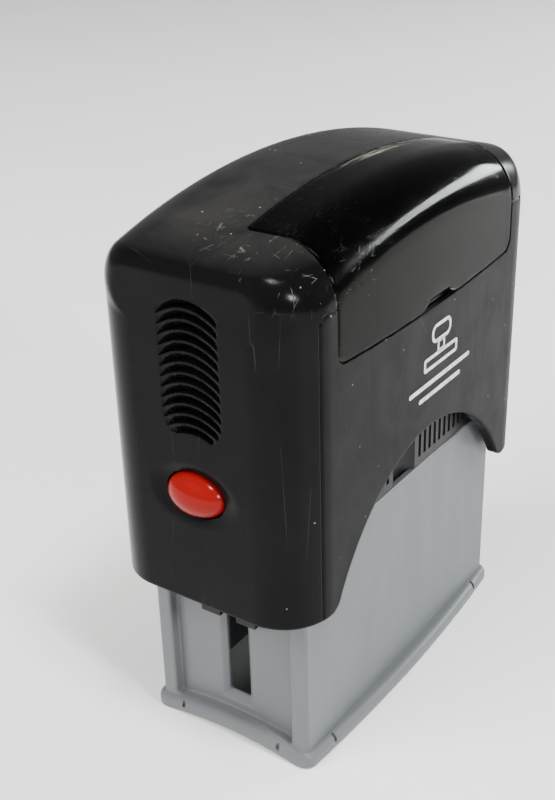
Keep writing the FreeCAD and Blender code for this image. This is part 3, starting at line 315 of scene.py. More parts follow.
def hood_room(x, y, z, skin):
    """Stepped cavity of the hood, with bosses for the yoke's screws."""
    wide = np.maximum(skin + HOOD_WALL, z - WIDE_TOP)
    towers = both(np.abs(x) - TOWER_ROOM[0], np.abs(y) - TOWER_ROOM[1], TOWER_BEND)
    towers = np.maximum(towers, z - TOWER_ROOM[2])
    yoke = every(np.abs(x) - YOKE_ROOM[0], np.abs(y) - YOKE_ROOM[1], z - YOKE_ROOM[2])
    boss = np.maximum(np.hypot(np.abs(x) - BOSS_OFFSET, y) - BOSS_RADIUS, BOSS_LOW - z)
    return np.minimum(wide, np.minimum(towers, np.maximum(yoke, -boss)))


def arch(x, z):
    """Cut-out in the long faces: a round top that runs into flatter flanks."""
    shift = (FLANK_RADIUS - ARCH_RADIUS) * math.sin(ARCH_TURN)
    drop = (FLANK_RADIUS - ARCH_RADIUS) * math.cos(ARCH_TURN)
    top = np.hypot(x, z - ARCH_CENTRE) - ARCH_RADIUS
    flank = np.hypot(np.abs(x) + shift, z - ARCH_CENTRE + drop) - FLANK_RADIUS
    return np.where(np.abs(x) > (z - ARCH_CENTRE) * math.tan(ARCH_TURN), flank, top)


def panel(x, z):
    """Plan of the satin front panel, whose edge is a fine seam."""
    return both(np.abs(x) - SEAM_HALF, z - SEAM_TOP, SEAM_BEND)


# window over the crown and down the front face
WINDOW_HALF = 25.4
WINDOW_BACK = -3.5
WINDOW_LOW = 66.1
WINDOW_SAG = 0.95
WINDOW_BEND = 1.9
WINDOW_BACK_BEND = 1.0
WINDOW_SKIN = 1.2
WINDOW_SUNK = 0.02
WINDOW_EDGE = 0.3
SEAT_DEPTH = 1.4
FIT_GAP = 0.22
NOTCH_MIDDLE = 2.3
NOTCH_TOP_HALF = 3.3
NOTCH_SLOPE = 1.0
NOTCH_HIGH = 1.4
NOTCH_BEND = 0.5
NOTCH_EDGE = 0.3


def window_edge(x):
    """Height of the window's bowed lower edge."""
    return WINDOW_LOW - WINDOW_SAG * (1 - (x / WINDOW_HALF) ** 2)


def window_plan(x, y, z, gap):
    """Outline of the window, wider by gap."""
    plan = both(np.abs(x) - WINDOW_HALF - gap, window_edge(x) - z - gap, WINDOW_BEND)
    return both(plan, y - WINDOW_BACK - gap, WINDOW_BACK_BEND)


def window(x, y, z):
    """Thin cover that follows the hood's skin, with a notch for a fingernail."""
    skin = hood_skin(x, y, z)
    rise = z - window_edge(x)
    notch = both(np.abs(x - NOTCH_MIDDLE) - NOTCH_TOP_HALF - NOTCH_SLOPE * (NOTCH_HIGH - rise),
                 rise - NOTCH_HIGH, NOTCH_BEND)
    plan = without(window_plan(x, y, z, 0), notch, NOTCH_EDGE)
    return np.maximum(both(skin + WINDOW_SUNK, plan, WINDOW_EDGE), -skin - WINDOW_SKIN)


# lock buttons and the finger grip on the end faces
button_low, button_high = limits("button_cap_left")
BUTTON_Z = (button_low[2] + button_high[2]) / 2
BUTTON_HALF = (4.75, 3.3)
DISH_HALF = (8.7, 5.6)
DISH_CENTRE = 1.3
DISH_DEEP = 2.2
HOLE_PLAY = 0.22
CAP_SUNK = 0.9
CAP_EDGE = 0.15

GRIP_MIDDLE = -0.5
GRIP_HALF = 4.9
GRIP_HIGH = 73.9
GRIP_PITCH = 1.505
GRIP_RIBS = 13
GRIP_SAG = 1.7
GRIP_DEPTH = 1.25
GRIP_RUN = 0.78
GRIP_END = 6.0
GRIP_ROUND_FROM = 0.78
GRIP_NARROWEST = 0.98
GRIP_LEAST = 0.02
GRIP_LOW = GRIP_HIGH - (GRIP_RIBS - 1) * GRIP_PITCH


def grip_slits(x, y, z, skin):
    """Louvres above curved ribs: deep over each rib, fading upwards and to both sides."""
    across = (y - GRIP_MIDDLE) / GRIP_HALF
    level = z + GRIP_SAG * across ** 2
    lower = (GRIP_LOW + GRIP_ROUND_FROM * GRIP_END - level) / GRIP_END
    lower = np.clip(lower, 0, GRIP_NARROWEST)
    spread = across / np.sqrt(1 - lower ** 2)
    fade = np.sqrt(np.clip(1 - spread ** 2, 0, 1))
    rank = np.clip(np.floor((level - GRIP_LOW) / GRIP_PITCH), 0, GRIP_RIBS - 1)
    found = None
    for above in (0, 1):
        shelf = GRIP_LOW + np.minimum(rank + above, GRIP_RIBS - 1) * GRIP_PITCH
        u = level - shelf
        deep = GRIP_DEPTH * fade * (1 - np.maximum(u, -1) / (GRIP_RUN * GRIP_PITCH))
        slit = every(-u, -skin - deep, GRIP_LEAST - fade)
        found = slit if found is None else np.minimum(found, slit)
    return np.maximum(found, END_FROM - np.abs(x))


def hood(x, y, z):
    """Shell with its arches, window seat, panel seam, button dishes and grips."""
    skin = hood_skin(x, y, z)
    feet = both(-arch(x, z), hood_low[2] - z, FOOT_BEND)
    shell = both(skin, feet, FOOT_EDGE)
    shell = without(shell, hood_room(x, y, z, skin))
    seat = np.maximum(window_plan(x, y, z, FIT_GAP), -skin - SEAT_DEPTH)
    shell = without(shell, seat, SEAT_EDGE)
    line = np.abs(panel(x, z))
    seam_floor = -skin - SEAM_DEPTH * (1 - line / SEAM_WIDTH)
    shell = without(shell, every(line - SEAM_WIDTH, seam_floor, FACE_FROM - np.abs(y)))
    out = np.abs(x) - hood_high[0]
    up = z - BUTTON_Z
    dish = ellipsoid(out - DISH_CENTRE, y, up, DISH_DEEP, *DISH_HALF)
    shell = without(shell, dish, DISH_EDGE)
    hole = oval(y, up, BUTTON_HALF[0] + HOLE_PLAY, BUTTON_HALF[1] + HOLE_PLAY)
    shell = without(shell, np.maximum(hole, -out - HOLE_DEPTH), HOLE_EDGE)
    return without(shell, grip_slits(x, y, z, skin))


def cap_of(side):
    """Oval domed cap of one lock button."""
    inner = -button_high[0]
    foot = hood_high[0] - CAP_SUNK
    stand = -button_low[0] - foot

    def cap(x, y, z):
        out = side * x
        up = z - BUTTON_Z
        dome = ellipsoid(out - foot, y, up, stand, *BUTTON_HALF)
        body = np.where(out > foot, dome, oval(y, up, *BUTTON_HALF))
        return both(body, inner - out, CAP_EDGE)

    return cap


# ---------------------------------------------------------------- base frame

base_high = limits("base_frame")[1]
BLOCK_HALF = (29.4, 13.8)
BLOCK_BEND = 0.9
BLOCK_EDGE = 0.4
BLOCK_LOW = 0.6
INSIDE_HALF = (26.3, 12.6)
INSIDE_BEND = 0.4
INSIDE_EDGE = 0.15

RIM_LEDGE = 0.9
RIM_BELLY = 1.4
RIM_HIGH = 2.5
RIM_ARCH = 1.15
RIM_REACH = 12.1
RIM_BEND = 1.8
RIM_ROUND = 1.15
RIM_EDGE = 0.55

SILL = 36.0
BAY_HALF = 25.6
BAY_BEND = 0.6
BAY_EDGE = 0.25

WALL_FACE = 27.6
RECESS_HALF = 11.0
RECESS_LIFT = 0.3
RECESS_BOW = 0.85
RECESS_BEND = 0.8
RECESS_ROUND = 0.35
RECESS_EDGE = 0.4

SLOT_HALF = 2.0
SLOT_LOW = 6.2
SLOT_HIGH = 50.0
SLOT_BEND = 0.5
SLOT_EDGE = 0.12
# flares of the slot's sides and its foot: start past the inside of the wall, reach and slope
SIDE_FLARE = (0.65, 1, 1.2)
LOW_FLARE = (0.3, 2, 1.1)

PRINT_HALF = (23.5, 9.0)
TICK_HALF = 0.3
TICK_DEPTH = 0.5
TICK_LOW = 1.1
# how far outside the walls the notches start, at the ends and at the faces
TICK_FROM = (0.4, 0.5)

SCREW_SPOT = (7.5, 51.2)
SCREW_RADIUS = 0.95
RAIL = ((24.9, 6.4, 9), (26.5, 7.4, 25))
CATCH = ((27.4, 5.2, 41.3), (28.9, 7.8, 42.6))


def bow(y):
    """How far the rim's ends are arched up off the table."""
    return RIM_ARCH * np.clip(1 - (y / RIM_REACH) ** 2, 0, 1)


def rim(x, y, z):
    """Bead round the foot, bellied along the print and arched at the ends."""
    half_x = BLOCK_HALF[0] + RIM_LEDGE
    half_y = BLOCK_HALF[1] + RIM_LEDGE + RIM_BELLY * (1 - (x / half_x) ** 2)
    plan = both(np.abs(x) - half_x, np.abs(y) - half_y, RIM_BEND)
    bead = both(plan, z - RIM_HIGH - bow(y), RIM_ROUND)
    return both(bead, bow(y) - z, RIM_EDGE)


def ticks(x, y, z):
    """Notches in the rim at the edges of the print."""
    on_face = np.maximum(np.abs(np.abs(x) - PRINT_HALF[0]) - TICK_HALF,
                         BLOCK_HALF[1] + TICK_FROM[1] - np.abs(y))
    on_end = np.maximum(np.abs(np.abs(y) - PRINT_HALF[1]) - TICK_HALF,
                        BLOCK_HALF[0] + TICK_FROM[0] - np.abs(x))
    return np.maximum(np.minimum(on_face, on_end), TICK_LOW + bow(y) - z)


def flare(mouth, start, reach, slope):
    """Widening that grows outwards from the mouth of the slot."""
    return np.clip(mouth - start, 0, reach) * slope


def axle_slot(x, y, z):
    """Slot through each end wall, in which the axle pins run."""
    mouth = np.maximum(np.abs(x) - INSIDE_HALF[0], 0)
    side = np.abs(y) - SLOT_HALF - flare(mouth, *SIDE_FLARE)
    under = SLOT_LOW - flare(mouth, *LOW_FLARE) - z
    return every(both(side, under, SLOT_BEND), z - SLOT_HIGH, END_FROM - np.abs(x))


def base(x, y, z):
    """Two long walls and two end towers on the foot rim, open above and below."""
    block = both(np.abs(x) - BLOCK_HALF[0], np.abs(y) - BLOCK_HALF[1], BLOCK_BEND)
    tower = both(block, z - base_high[2], BLOCK_EDGE)
    bay = both(np.abs(x) - BAY_HALF, SILL - z, BAY_BEND)
    tower = without(tower, bay, BAY_EDGE)
    foot = RIM_HIGH + RECESS_LIFT + RECESS_BOW * np.clip(1 - (y / RECESS_HALF) ** 2, 0, 1)
    recess = both(np.abs(y) - RECESS_HALF, foot - z, RECESS_BEND)
    recess = both(recess, WALL_FACE - np.abs(x), RECESS_ROUND)
    tower = without(tower, recess, RECESS_EDGE)
    bead = rim(x, y, z)
    bead = without(bead, np.maximum(ticks(x, y, z), -bead - TICK_DEPTH))
    whole = np.minimum(np.maximum(tower, BLOCK_LOW - z), bead)
    inside = both(np.abs(x) - INSIDE_HALF[0], np.abs(y) - INSIDE_HALF[1], INSIDE_BEND)
    whole = without(whole, inside, INSIDE_EDGE)
    whole = without(whole, axle_slot(x, y, z), SLOT_EDGE)
    screws = np.hypot(np.abs(y) - SCREW_SPOT[0], z - SCREW_SPOT[1]) - SCREW_RADIUS
    whole = without(whole, np.maximum(screws, END_FROM - np.abs(x)))
    rails = brick(np.abs(x), y, z, *RAIL)
    catches = brick(np.abs(x), np.abs(y), z, *CATCH)
    return np.minimum(whole, np.minimum(rails, catches))


# ---------------------------------------------------------------- materials

# worn places, how wide the change of gloss at the seam is, and between which heights the
# crown's matt band and its pale film set in: partly wiped haze, partly painted sheen
WORN_CORNER = (-28, -12, 82)
WORN_EDGE = (-25, -4, 83)
WORN_WINDOW = (-22, -12, 82)
SEAM_FADE = 0.1
CROWN_BAND = (79.5, 81.5)


class Finish:
    """A Principled material with short calls for the nodes that drive it."""

    def __init__(self, name, **sockets):
        self.material = bpy.data.materials.new(name)
        self.material.use_nodes = True
        self.tree = self.material.node_tree
        self.shader = self.tree.nodes["Principled BSDF"]
        self.place = self.tree.nodes.new("ShaderNodeTexCoord").outputs["Object"]
        self.set(self.shader, {key.replace("_", " "): value for key, value in sockets.items()})

    def set(self, node, sockets):
        for key, value in sockets.items():
            if isinstance(value, bpy.types.NodeSocket):
                self.tree.links.new(value, node.inputs[key])
            else:
                node.inputs[key].default_value = value

    def add(self, kind, sockets, **settings):
        node = self.tree.nodes.new("ShaderNode" + kind)
        for key, value in settings.items():
            setattr(node, key, value)
        self.set(node, sockets)
        return node.outputs

    def noise(self, size, detail=3.0, rough=0.55, distort=0.0, place=None):
        """Soft noise whose features are about size millimetres across."""
        sockets = {"Vector": place or self.place, "Scale": MM / size, "Detail": detail,
                   "Roughness": rough, "Distortion": distort}
        return self.add("TexNoise", sockets)[0]

    def stretch(self, scale, turn=(0, 0, 0)):
        """Place scaled by direction, for marks that run one way."""
        return self.add("Mapping", {"Vector": self.place, "Scale": scale, "Rotation": turn})[0]

    def spread(self, value, low, high, to_low=0.0, to_high=1.0):
        return self.add("MapRange", {"Value": value, "From Min": low, "From Max": high,
                                     "To Min": to_low, "To Max": to_high})[0]

    def combine(self, kind, a, b=0.5):
        return self.add("Math", {0: a, 1: b}, operation=kind)[0]

    def plus(self, a, b):
        return self.combine("ADD", a, b)

    def times(self, a, b):
        return self.combine("MULTIPLY", a, b)

    def larger(self, a, b):
        return self.combine("MAXIMUM", a, b)

    def size(self, a):
        return self.combine("ABSOLUTE", a)

    def axes(self):
        """X, Y and Z in millimetres."""
        scaled = self.add("VectorMath", {0: self.place, "Scale": MM}, operation="SCALE")[0]
        return self.add("SeparateXYZ", {"Vector": scaled})

    def mix(self, share, a, b):
        return self.add("Mix", {0: share, 6: a, 7: b}, data_type="RGBA")[2]

    def near(self, centre, radius):
        """1 at a place in millimetres, fading to 0 at a radius."""
        spot = tuple(c / MM for c in centre)
        away = self.add("VectorMath", {0: self.place, 1: spot}, operation="DISTANCE")[1]
        return self.spread(away, radius / MM, 0.35 * radius / MM)

    def bump(self, height, strength, depth, normal=None):
        """Relief of a given depth in millimetres."""
        sockets = {"Height": height, "Strength": strength, "Distance": depth / MM}
        if normal is not None:
            sockets["Normal"] = normal
        return self.add("Bump", sockets)[0]

    def hairlines(self, size, width, place):
        """Thin straight scratches: 1 along each, 0 between them."""
        cells = {"Vector": place, "Scale": MM / size}
        off = self.add("TexVoronoi", cells, feature="DISTANCE_TO_EDGE")[0]
        return self.spread(off, width, 0.3 * width)

    def scuffs(self, area, one_way, other_way):
        """Short scratches in two directions, scattered over a worn area."""
        first = self.hairlines(2.6, 0.016, self.stretch(*one_way))
        second = self.hairlines(1.8, 0.02, self.stretch(*other_way))
        marks = self.larger(first, second)
        bits = self.spread(self.noise(1.6, 2), 0.5, 0.6)
        return self.times(self.times(marks, bits), area)

    def strays(self, spacing, width, direction, patch):
        """A few long scratches, each broken off where its patch ends."""
        lines = self.hairlines(spacing, width, self.stretch(*direction))
        return self.times(lines, patch)

    def specks(self, spacing, size, share):
        """Scattered grains of dust: 1 on a grain, 0 elsewhere."""
        cells = self.add("TexVoronoi", {"Vector": self.place, "Scale": MM / spacing})
        grain = self.spread(cells[0], size, 0.6 * size)
        chance = self.add("SeparateColor", {"Color": cells[1]})[0]
        chosen = self.combine("LESS_THAN", chance, share)
        return self.times(grain, chosen)

    def use(self, **sockets):
        self.set(self.shader, {key.replace("_", " "): value for key, value in sockets.items()})
        return self.material


def moulded(name, colour, shade, rough, grain=0.9, depth=0.01):
    """Injection-moulded plastic: slightly uneven colour, gloss and a fine grain."""
    finish = Finish(name, IOR=1.49, Specular_IOR_Level=0.12)
    cloud = finish.noise(14, 3)
    fine = finish.noise(grain, 4, 0.7)
    tint = finish.mix(cloud, (*colour, 1), (*shade, 1))
    gloss = finish.plus(finish.spread(cloud, 0.3, 0.7, rough - 0.04, rough + 0.04),
                       finish.spread(fine, 0.3, 0.7, -0.03, 0.03))
    return finish.use(Base_Color=tint, Roughness=gloss, Normal=finish.bump(fine, 0.35, depth))


def hood_plastic():
    """Black plastic: glossy, satin inside the panel, scuffed at one corner and dusty; its crown has a
    pale film that is partly wiped haze and partly painted sheen.
    """
    finish = Finish("hood_plastic", IOR=1.5, Specular_IOR_Level=0.06)
    x, y, z = finish.axes()[:3]
    inside_x = finish.spread(finish.size(x), SEAM_HALF, SEAM_HALF - SEAM_FADE)
    below = finish.spread(z, SEAM_TOP, SEAM_TOP - SEAM_FADE)
    on_face = finish.spread(finish.size(y), hood_high[1] - 0.8, hood_high[1] - 0.5)
    satin = finish.times(finish.times(inside_x, below), on_face)
    on_end = finish.spread(finish.size(x), hood_high[0] - 0.9, hood_high[0] - 0.15)
    on_top = finish.spread(z, *CROWN_BAND)
    smudge = finish.noise(9, 4, 0.6, 0.6)
    wiped = finish.noise(3, 5, 0.7, 0.4, finish.stretch((1, 1, 0.35)))
    gloss = finish.spread(smudge, 0.35, 0.7, 0.13, 0.23)
    for area, matt in ((satin, 0.26), (on_end, 0.12), (on_top, 0.13)):
        gloss = finish.plus(gloss, finish.times(area, matt))
    gloss = finish.plus(gloss, finish.spread(wiped, 0.4, 0.8, -0.03, 0.06))

    worn = finish.larger(finish.near(WORN_CORNER, 10), finish.near(WORN_EDGE, 9))
    patches = finish.spread(finish.noise(4, 3, 0.6, 1.0), 0.46, 0.62)
    marks = finish.scuffs(finish.times(worn, patches), ((1, 0.16, 0.5), (0, 0.4, 0.3)),
                          ((0.2, 1, 0.4), (0, 0, 0.5)))
    patch = finish.spread(finish.noise(11, 2), 0.52, 0.66)
    stray = finish.strays(9, 0.0035, ((1, 1, 0.12), (0.2, 0.3, 0)), patch)
    scratch = finish.larger(marks, finish.times(stray, 0.18))
    dust = finish.specks(1.7, 0.1, 0.16)
    pale = finish.larger(finish.times(scratch, 0.2), finish.times(dust, 0.3))
    film = finish.spread(finish.noise(18, 4, 0.6, 0.8), 0.35, 0.75, 0.0, 0.004)
    # pale film over the crown: partly wiped haze, partly painted sheen that lightens the top as the
    # bright room's reflection at grazing angles would
    crown_haze_and_sheen = finish.times(on_top, finish.spread(smudge, 0.3, 0.7, 0.012, 0.034))
    pale = finish.plus(pale, finish.plus(film, crown_haze_and_sheen))
    colour = finish.mix(pale, (0.0022, 0.002, 0.0022, 1), (0.5, 0.49, 0.46, 1))
    grain = finish.noise(0.35, 3, 0.7)
    soft = finish.bump(finish.times(grain, finish.plus(satin, 0.12)), 0.5, 0.02)
    cut = finish.bump(scratch, 0.6, 0.05, soft)
    gloss = finish.plus(gloss, finish.times(scratch, 0.2))
    return finish.use(Base_Color=colour, Roughness=gloss, Normal=cut)


def window_plastic():
    """Smoky clear cover, scuffed at its near corner."""
    finish = Finish("window_plastic", IOR=1.11, Transmission_Weight=1.0)
    smudge = finish.noise(12, 4, 0.6, 0.7)
    corner = finish.near(WORN_WINDOW, 16)
    patches = finish.spread(finish.noise(4.5, 3, 0.6, 1.2), 0.45, 0.62)
    marks = finish.scuffs(finish.times(corner, patches), ((0.16, 1, 1), (0, 0, 0.3)),
                          ((0.2, 1, 0.5), (0, 0, -0.5)))
    patch = finish.spread(finish.noise(9, 2), 0.55, 0.68)
    stray = finish.strays(8, 0.004, ((0.12, 1, 1), (0, 0, 0.1)), patch)
    scratch = finish.larger(marks, finish.times(stray, 0.25))
    colour = finish.mix(scratch, (0.10, 0.10, 0.078, 1), (0.7, 0.72, 0.7, 1))
    rough = finish.plus(finish.spread(smudge, 0.35, 0.7, 0.05, 0.14), finish.times(scratch, 0.4))
    haze = finish.times(finish.times(corner, smudge), 0.2)
    return finish.use(Base_Color=colour, Roughness=finish.plus(rough, haze),
                      Normal=finish.bump(scratch, 0.7, 0.05))


def grey_plastic():
    """Light grey satin plastic of the frame, with faint flow marks and handling dirt."""
    finish = Finish("grey_plastic", IOR=1.47, Specular_IOR_Level=0.3)
    cloud = finish.noise(16, 4, 0.6, 0.5)
    flow = finish.noise(5, 3, 0.6, 0.3, finish.stretch((1, 1, 0.2)))
    tint = finish.mix(cloud, (0.090, 0.096, 0.102, 1), (0.103, 0.109, 0.113, 1))
    low = finish.spread(finish.axes()[2], 7, 0, 0.0, 0.35)
    dirt = finish.times(low, finish.spread(finish.noise(3.2, 4, 0.7), 0.45, 0.75))
    tint = finish.mix(dirt, tint, (0.11, 0.11, 0.105, 1))
    grain = finish.noise(0.4, 3, 0.7)
    gloss = finish.plus(finish.spread(flow, 0.3, 0.7, 0.36, 0.48),
                        finish.spread(grain, 0.3, 0.7, -0.03, 0.03))
    return finish.use(Base_Color=tint, Roughness=gloss, Normal=finish.bump(grain, 0.4, 0.012))


def red_plastic():
    """Glossy red cap, its colour slightly uneven."""
    finish = Finish("red_plastic", IOR=1.5, Specular_IOR_Level=0.12)
    cloud = finish.noise(4, 3, 0.6)
    tint = finish.mix(cloud, (0.155, 0.0026, 0.0020, 1), (0.18, 0.0036, 0.0028, 1))
    fine = finish.noise(0.8, 3, 0.6)
    gloss = finish.spread(fine, 0.3, 0.7, 0.14, 0.22)
    return finish.use(Base_Color=tint, Roughness=gloss, Normal=finish.bump(fine, 0.15, 0.01),
                      Subsurface_Weight=0.12, Subsurface_Scale=0.0012, Subsurface_Radius=(1.0, 0.2, 0.1))


def soft_pore(name, colour, shade, pore, rough=0.95):
    """Felt or foam: pores and a matt, slightly fuzzy face."""
    finish = Finish(name, Sheen_Weight=0.3)
    cells = finish.add("TexVoronoi", {"Vector": finish.place, "Scale": MM / pore})[0]
    fluff = finish.noise(pore * 2, 5, 0.75, 0.5)
    tint = finish.mix(finish.spread(fluff, 0.3, 0.7), (*colour, 1), (*shade, 1))
    height = finish.plus(cells, fluff)
    return finish.use(Base_Color=tint, Roughness=finish.spread(fluff, 0.2, 0.8, rough - 0.08, rough),
                      Normal=finish.bump(height, 0.8, pore * 0.4))


def steel(name, tone, rough):
    """Bright drawn or plated steel with fine turning marks."""
    finish = Finish(name, Metallic=1.0)
    marks = finish.noise(0.5, 3, 0.6, 0.0, finish.stretch((1, 1, 6)))
    bright = (tone, tone, tone * 1.02, 1)
    dull = (tone * 0.85, tone * 0.84, tone * 0.82, 1)
    tint = finish.mix(finish.noise(3, 3), bright, dull)
    gloss = finish.spread(marks, 0.3, 0.7, rough - 0.06, rough + 0.08)
    return finish.use(Base_Color=tint, Roughness=gloss, Normal=finish.bump(marks, 0.25, 0.008))


def print_ink():
    """White pad-printed mark, thin in places."""
    finish = Finish("print_ink")
    worn = finish.noise(0.9, 4, 0.7)
    tint = finish.mix(finish.spread(worn, 0.42, 0.62), (0.62, 0.62, 0.6, 1), (0.36, 0.36, 0.35, 1))
    return finish.use(Base_Color=tint, Roughness=finish.spread(worn, 0.3, 0.7, 0.45, 0.6))


FINISHES = {
    "grey_plastic": grey_plastic(),
    "black_plastic": moulded("black_plastic", (0.012, 0.011, 0.011), (0.018, 0.017, 0.016), 0.42),
    "cartridge_plastic": moulded("cartridge_plastic", (0.014, 0.013, 0.014), (0.02, 0.019, 0.02), 0.36),
    "hood_plastic": hood_plastic(),
    "window_plastic": window_plastic(),
    "red_plastic": red_plastic(),
    "plate_plastic": moulded("plate_plastic", (0.03, 0.03, 0.032), (0.045, 0.044, 0.045), 0.45),
    "pad_felt": soft_pore("pad_felt", (0.02, 0.02, 0.06), (0.035, 0.03, 0.09), 0.5),
    "cushion_foam": soft_pore("cushion_foam", (0.07, 0.07, 0.075), (0.1, 0.1, 0.105), 0.35),
    "die_rubber": moulded("die_rubber", (0.16, 0.045, 0.03), (0.2, 0.06, 0.04), 0.62, 0.5, 0.02),
    "screw_steel": steel("screw_steel", 0.62, 0.3),
    "spring_steel": steel("spring_steel", 0.5, 0.26),
}

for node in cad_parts.values():
    for slot in node.material_slots:
        slot.material = FINISHES[slot.material.name.split(".")[0]]


# ---------------------------------------------------------------- pieces

SHELL_STEP = 0.24
CAP_STEP = 0.16


def build(name, field, step, body, node, slot):
    """Visual piece from a field, in place of one CAD piece."""
    piece = solid(name, field, *limits(node), step)
    return fit_out(piece, body, [node], FINISHES[slot])


build("hood", hood, SHELL_STEP, "hood", "hood_shell", "hood_plastic")
build("window", window, SHELL_STEP, "window", "index_window", "window_plastic")
build("base", base, SHELL_STEP, "base", "base_frame", "grey_plastic")
for side, hand in ((-1, "left"), (1, "right")):
    build("cap_" + hand, cap_of(side), CAP_STEP, "button_" + hand, "button_cap_" + hand, "red_plastic")


# ---------------------------------------------------------------- main spring

SPRING_INSET = 0.4
SPRING_LOW = limits("main_spring")[0][2] + SPRING_INSET
SPRING_HIGH = limits("main_spring")[1][2] - SPRING_INSET
SPRING_CREASE = 50
COIL_RADIUS = 4.5
WIRE_RADIUS = 0.45
# height of the wire itself and the closed coil at each end
CLOSED_PART = 6 * WIRE_RADIUS
COILS = 8
COIL_STEPS = 40
WIRE_SIDES = 12


def spring():
    """Compression spring with a closed coil at each end."""
    turn = np.linspace(0, COILS, COILS * COIL_STEPS + 1)
    closed = np.minimum(turn, 1) + np.maximum(turn - COILS + 1, 0)
    climb = np.clip((turn - 1) / (COILS - 2), 0, 1)
    rise = SPRING_HIGH - SPRING_LOW - CLOSED_PART
    height = SPRING_LOW + WIRE_RADIUS + 2 * WIRE_RADIUS * closed + rise * climb
    angle = 2 * math.pi * turn[:, None]
    side = 2 * math.pi * np.arange(WIRE_SIDES)[None, :] / WIRE_SIDES
    radius = COIL_RADIUS + WIRE_RADIUS * np.cos(side)
    points = np.stack([radius * np.cos(angle), radius * np.sin(angle),
                       height[:, None] + WIRE_RADIUS * np.sin(side)], 2)
    ring = np.arange(WIRE_SIDES)
    after = (ring + 1) % WIRE_SIDES
    faces = []
    for k in range(len(turn) - 1):
        here, there = k * WIRE_SIDES, (k + 1) * WIRE_SIDES
        faces.append(np.stack([here + after, here + ring, there + ring, there + after], 1))
    last = (len(turn) - 1) * WIRE_SIDES
    for k in range(WIRE_SIDES // 2 - 1):
        cap = np.array([(k, k + 1, WIRE_SIDES - 2 - k, WIRE_SIDES - 1 - k)])
        faces += [cap, last + cap[:, ::-1]]
    return points.reshape(-1, 3), np.concatenate(faces)


coil = fit_out(add_mesh("spring", *spring(), SPRING_CREASE), "base", ["main_spring"],
               FINISHES["spring_steel"])
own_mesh(coil)


# ---------------------------------------------------------------- printed mark

MARK_LIFT = 0.03
MARK_X = 3.0
ARC_STEPS = 8
FLAT_CREASE = 30
# knob, neck and foot of the pictogram: height, half size, corner radius, width of the line
MARK_PARTS = ((60.6, (3.0, 1.5), 1.4, 0.55), (58.3, (1.1, 1.0), 0.3, 0.45),
              (56.4, (5.2, 1.1), 0.5, 0.55))
LEAST_BEND = 0.05
# printed lines under it: height, half length; then half their width, their bend and their core
MARK_LINES = ((53.2, 9.5), (51.2, 6.5))
LINE_HALF = 0.36
LINE_BEND = 0.34
LINE_END = 0.35
CORE_HALF = 0.01
CORE_BEND = 0.005


def loop(centre, half, radius):
    """Rounded rectangle on the front face, as points in order."""
    points = []
    for quarter, (sx, sz) in enumerate(((1, 1), (-1, 1), (-1, -1), (1, -1))):
        for k in range(ARC_STEPS + 1):
            angle = math.pi / 2 * (quarter + k / ARC_STEPS)
            points.append((centre[0] + sx * (half[0] - radius) + radius * math.cos(angle),
                           centre[1] + sz * (half[1] - radius) + radius * math.sin(angle)))
    return points


def ribbon(points, faces, outer, inner):
    """Ring between two loops, raised off the face, with an outer and an inner side."""
    start = len(points)
    count = len(outer)
    face_y = -hood_high[1]
    for depth in (face_y - MARK_LIFT, face_y + MARK_LIFT):
        for edge in (outer, inner):
            points.extend((x, depth, z) for x, z in edge)
    for k in range(count):
        after = (k + 1) % count
        here, there = start + k, start + after
        faces.append((here, there, there + count, here + count))
        faces.append((there, here, here + 2 * count, there + 2 * count))
        faces.append((here + count, there + count, there + 3 * count, here + 3 * count))


def printed_mark():
    """Plain pictogram: a hand stamp over its printed lines."""
    points, faces = [], []
    for level, half, radius, line in MARK_PARTS:
        centre = (MARK_X, level)
        inner = (half[0] - line, half[1] - line)
        ribbon(points, faces, loop(centre, half, radius),
               loop(centre, inner, max(radius - line, LEAST_BEND)))
    for level, reach in MARK_LINES:
        centre = (MARK_X, level)
        core = (reach - LINE_END, CORE_HALF)
        ribbon(points, faces, loop(centre, (reach, LINE_HALF), LINE_BEND),
               loop(centre, core, CORE_BEND))
    return add_mesh("printed_mark", points, faces, FLAT_CREASE)


fit_out(printed_mark(), "hood", [], print_ink())


# ---------------------------------------------------------------- floor, light and camera

def staged(name, points, faces, material):
    """Mesh that belongs to the scene and not to the stamp."""
    piece = add_mesh(name, points, faces, FLAT_CREASE)
    piece.data.materials.append(material)
    return piece


FLOOR_HALF = 6000.0
FLOOR_DROP = 0.02
AIM_HIGH = 45

SENSOR = 36
FOCAL_LENGTH = 55.32
SHIFT = (-0.01775, -0.00635)
NEAREST = 0.01
CAMERA_SPOT = (-145.71, -92.46, 133.16)
CAMERA_RIGHT = (0.5571, -0.8301, -0.0213)
CAMERA_UP = (0.3827, 0.2338, 0.8938)

ROOM_COLOUR = (0.92, 0.93, 0.97, 1)
ROOM_STRENGTH = 0.42


def floor_finish():
    """Matt white table, hardly uneven in tone."""
    finish = Finish("floor", Roughness=0.55)
    cloud = finish.spread(finish.noise(90, 3), 0.3, 0.7)
    return finish.use(Base_Color=finish.mix(cloud, (0.88, 0.87, 0.86, 1), (0.91, 0.90, 0.89, 1)))


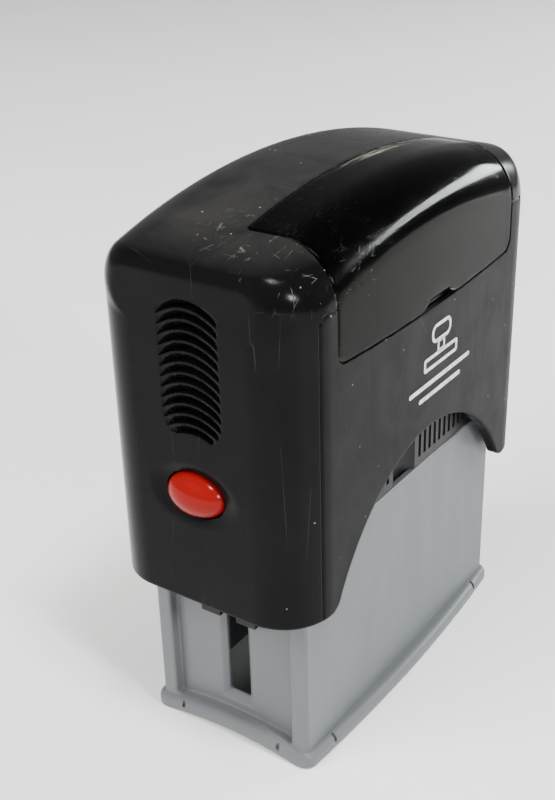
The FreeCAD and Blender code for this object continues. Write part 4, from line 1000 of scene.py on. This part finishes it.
def floor():
    """Wide pale table, a hair under the foot rim."""
    corners = [(sx * FLOOR_HALF, sy * FLOOR_HALF, -FLOOR_DROP)
               for sx, sy in ((-1, -1), (1, -1), (1, 1), (-1, 1))]
    return staged("floor", corners, [(0, 1, 2, 3)], floor_finish())


def lamp(name, towards, distance, size, power, colour):
    """Soft rectangular light that faces the stamp."""
    light = bpy.data.lights.new(name, "AREA")
    light.shape = "RECTANGLE"
    light.size, light.size_y = size
    light.energy = power
    light.color = colour
    shade = bpy.data.objects.new(name, light)
    aim = Vector((0, 0, AIM_HIGH)) / MM
    away = Vector(towards).normalized()
    shade.location = aim + away * distance
    shade.rotation_euler = away.to_track_quat("Z", "Y").to_euler()
    bpy.context.scene.collection.objects.link(shade)
    return shade


def camera():
    """View from above over the corner between the red button's end and the front face."""
    lens = bpy.data.cameras.new("camera")
    lens.sensor_width = SENSOR
    lens.lens = FOCAL_LENGTH
    lens.shift_x, lens.shift_y = SHIFT
    lens.clip_start = NEAREST
    view = bpy.data.objects.new("camera", lens)
    right = Vector(CAMERA_RIGHT)
    up = Vector(CAMERA_UP)
    back = right.cross(up).normalized()
    turn = Matrix((right, up, back)).transposed().to_4x4()
    view.matrix_world = Matrix.Translation(Vector(CAMERA_SPOT) / MM) @ turn
    bpy.context.scene.collection.objects.link(view)
    bpy.context.scene.camera = view


floor()
camera()
window_light = lamp("window_light", (-0.75, 0.35, 0.56), 0.9, (0.7, 0.7), 17.0, (1.0, 0.99, 0.97))
window_light.visible_glossy = False
lamp("ceiling_lamp", (-0.13, -0.37, 0.90), 1.0, (0.2, 0.2), 10.0, (0.98, 0.985, 1.0))
lamp("front_lamp", (-0.19, -0.907, 0.375), 0.8, (0.11, 0.11), 6.0, (0.96, 0.98, 1.0))
lamp("side_lamp", (0.86, -0.42, 0.25), 0.8, (0.5, 0.09), 8.0, (0.93, 1.0, 0.96))

world = bpy.data.worlds.new("room")
bpy.context.scene.world = world
world.use_nodes = True
room = world.node_tree.nodes["Background"]
room.inputs["Color"].default_value = ROOM_COLOUR
room.inputs["Strength"].default_value = ROOM_STRENGTH
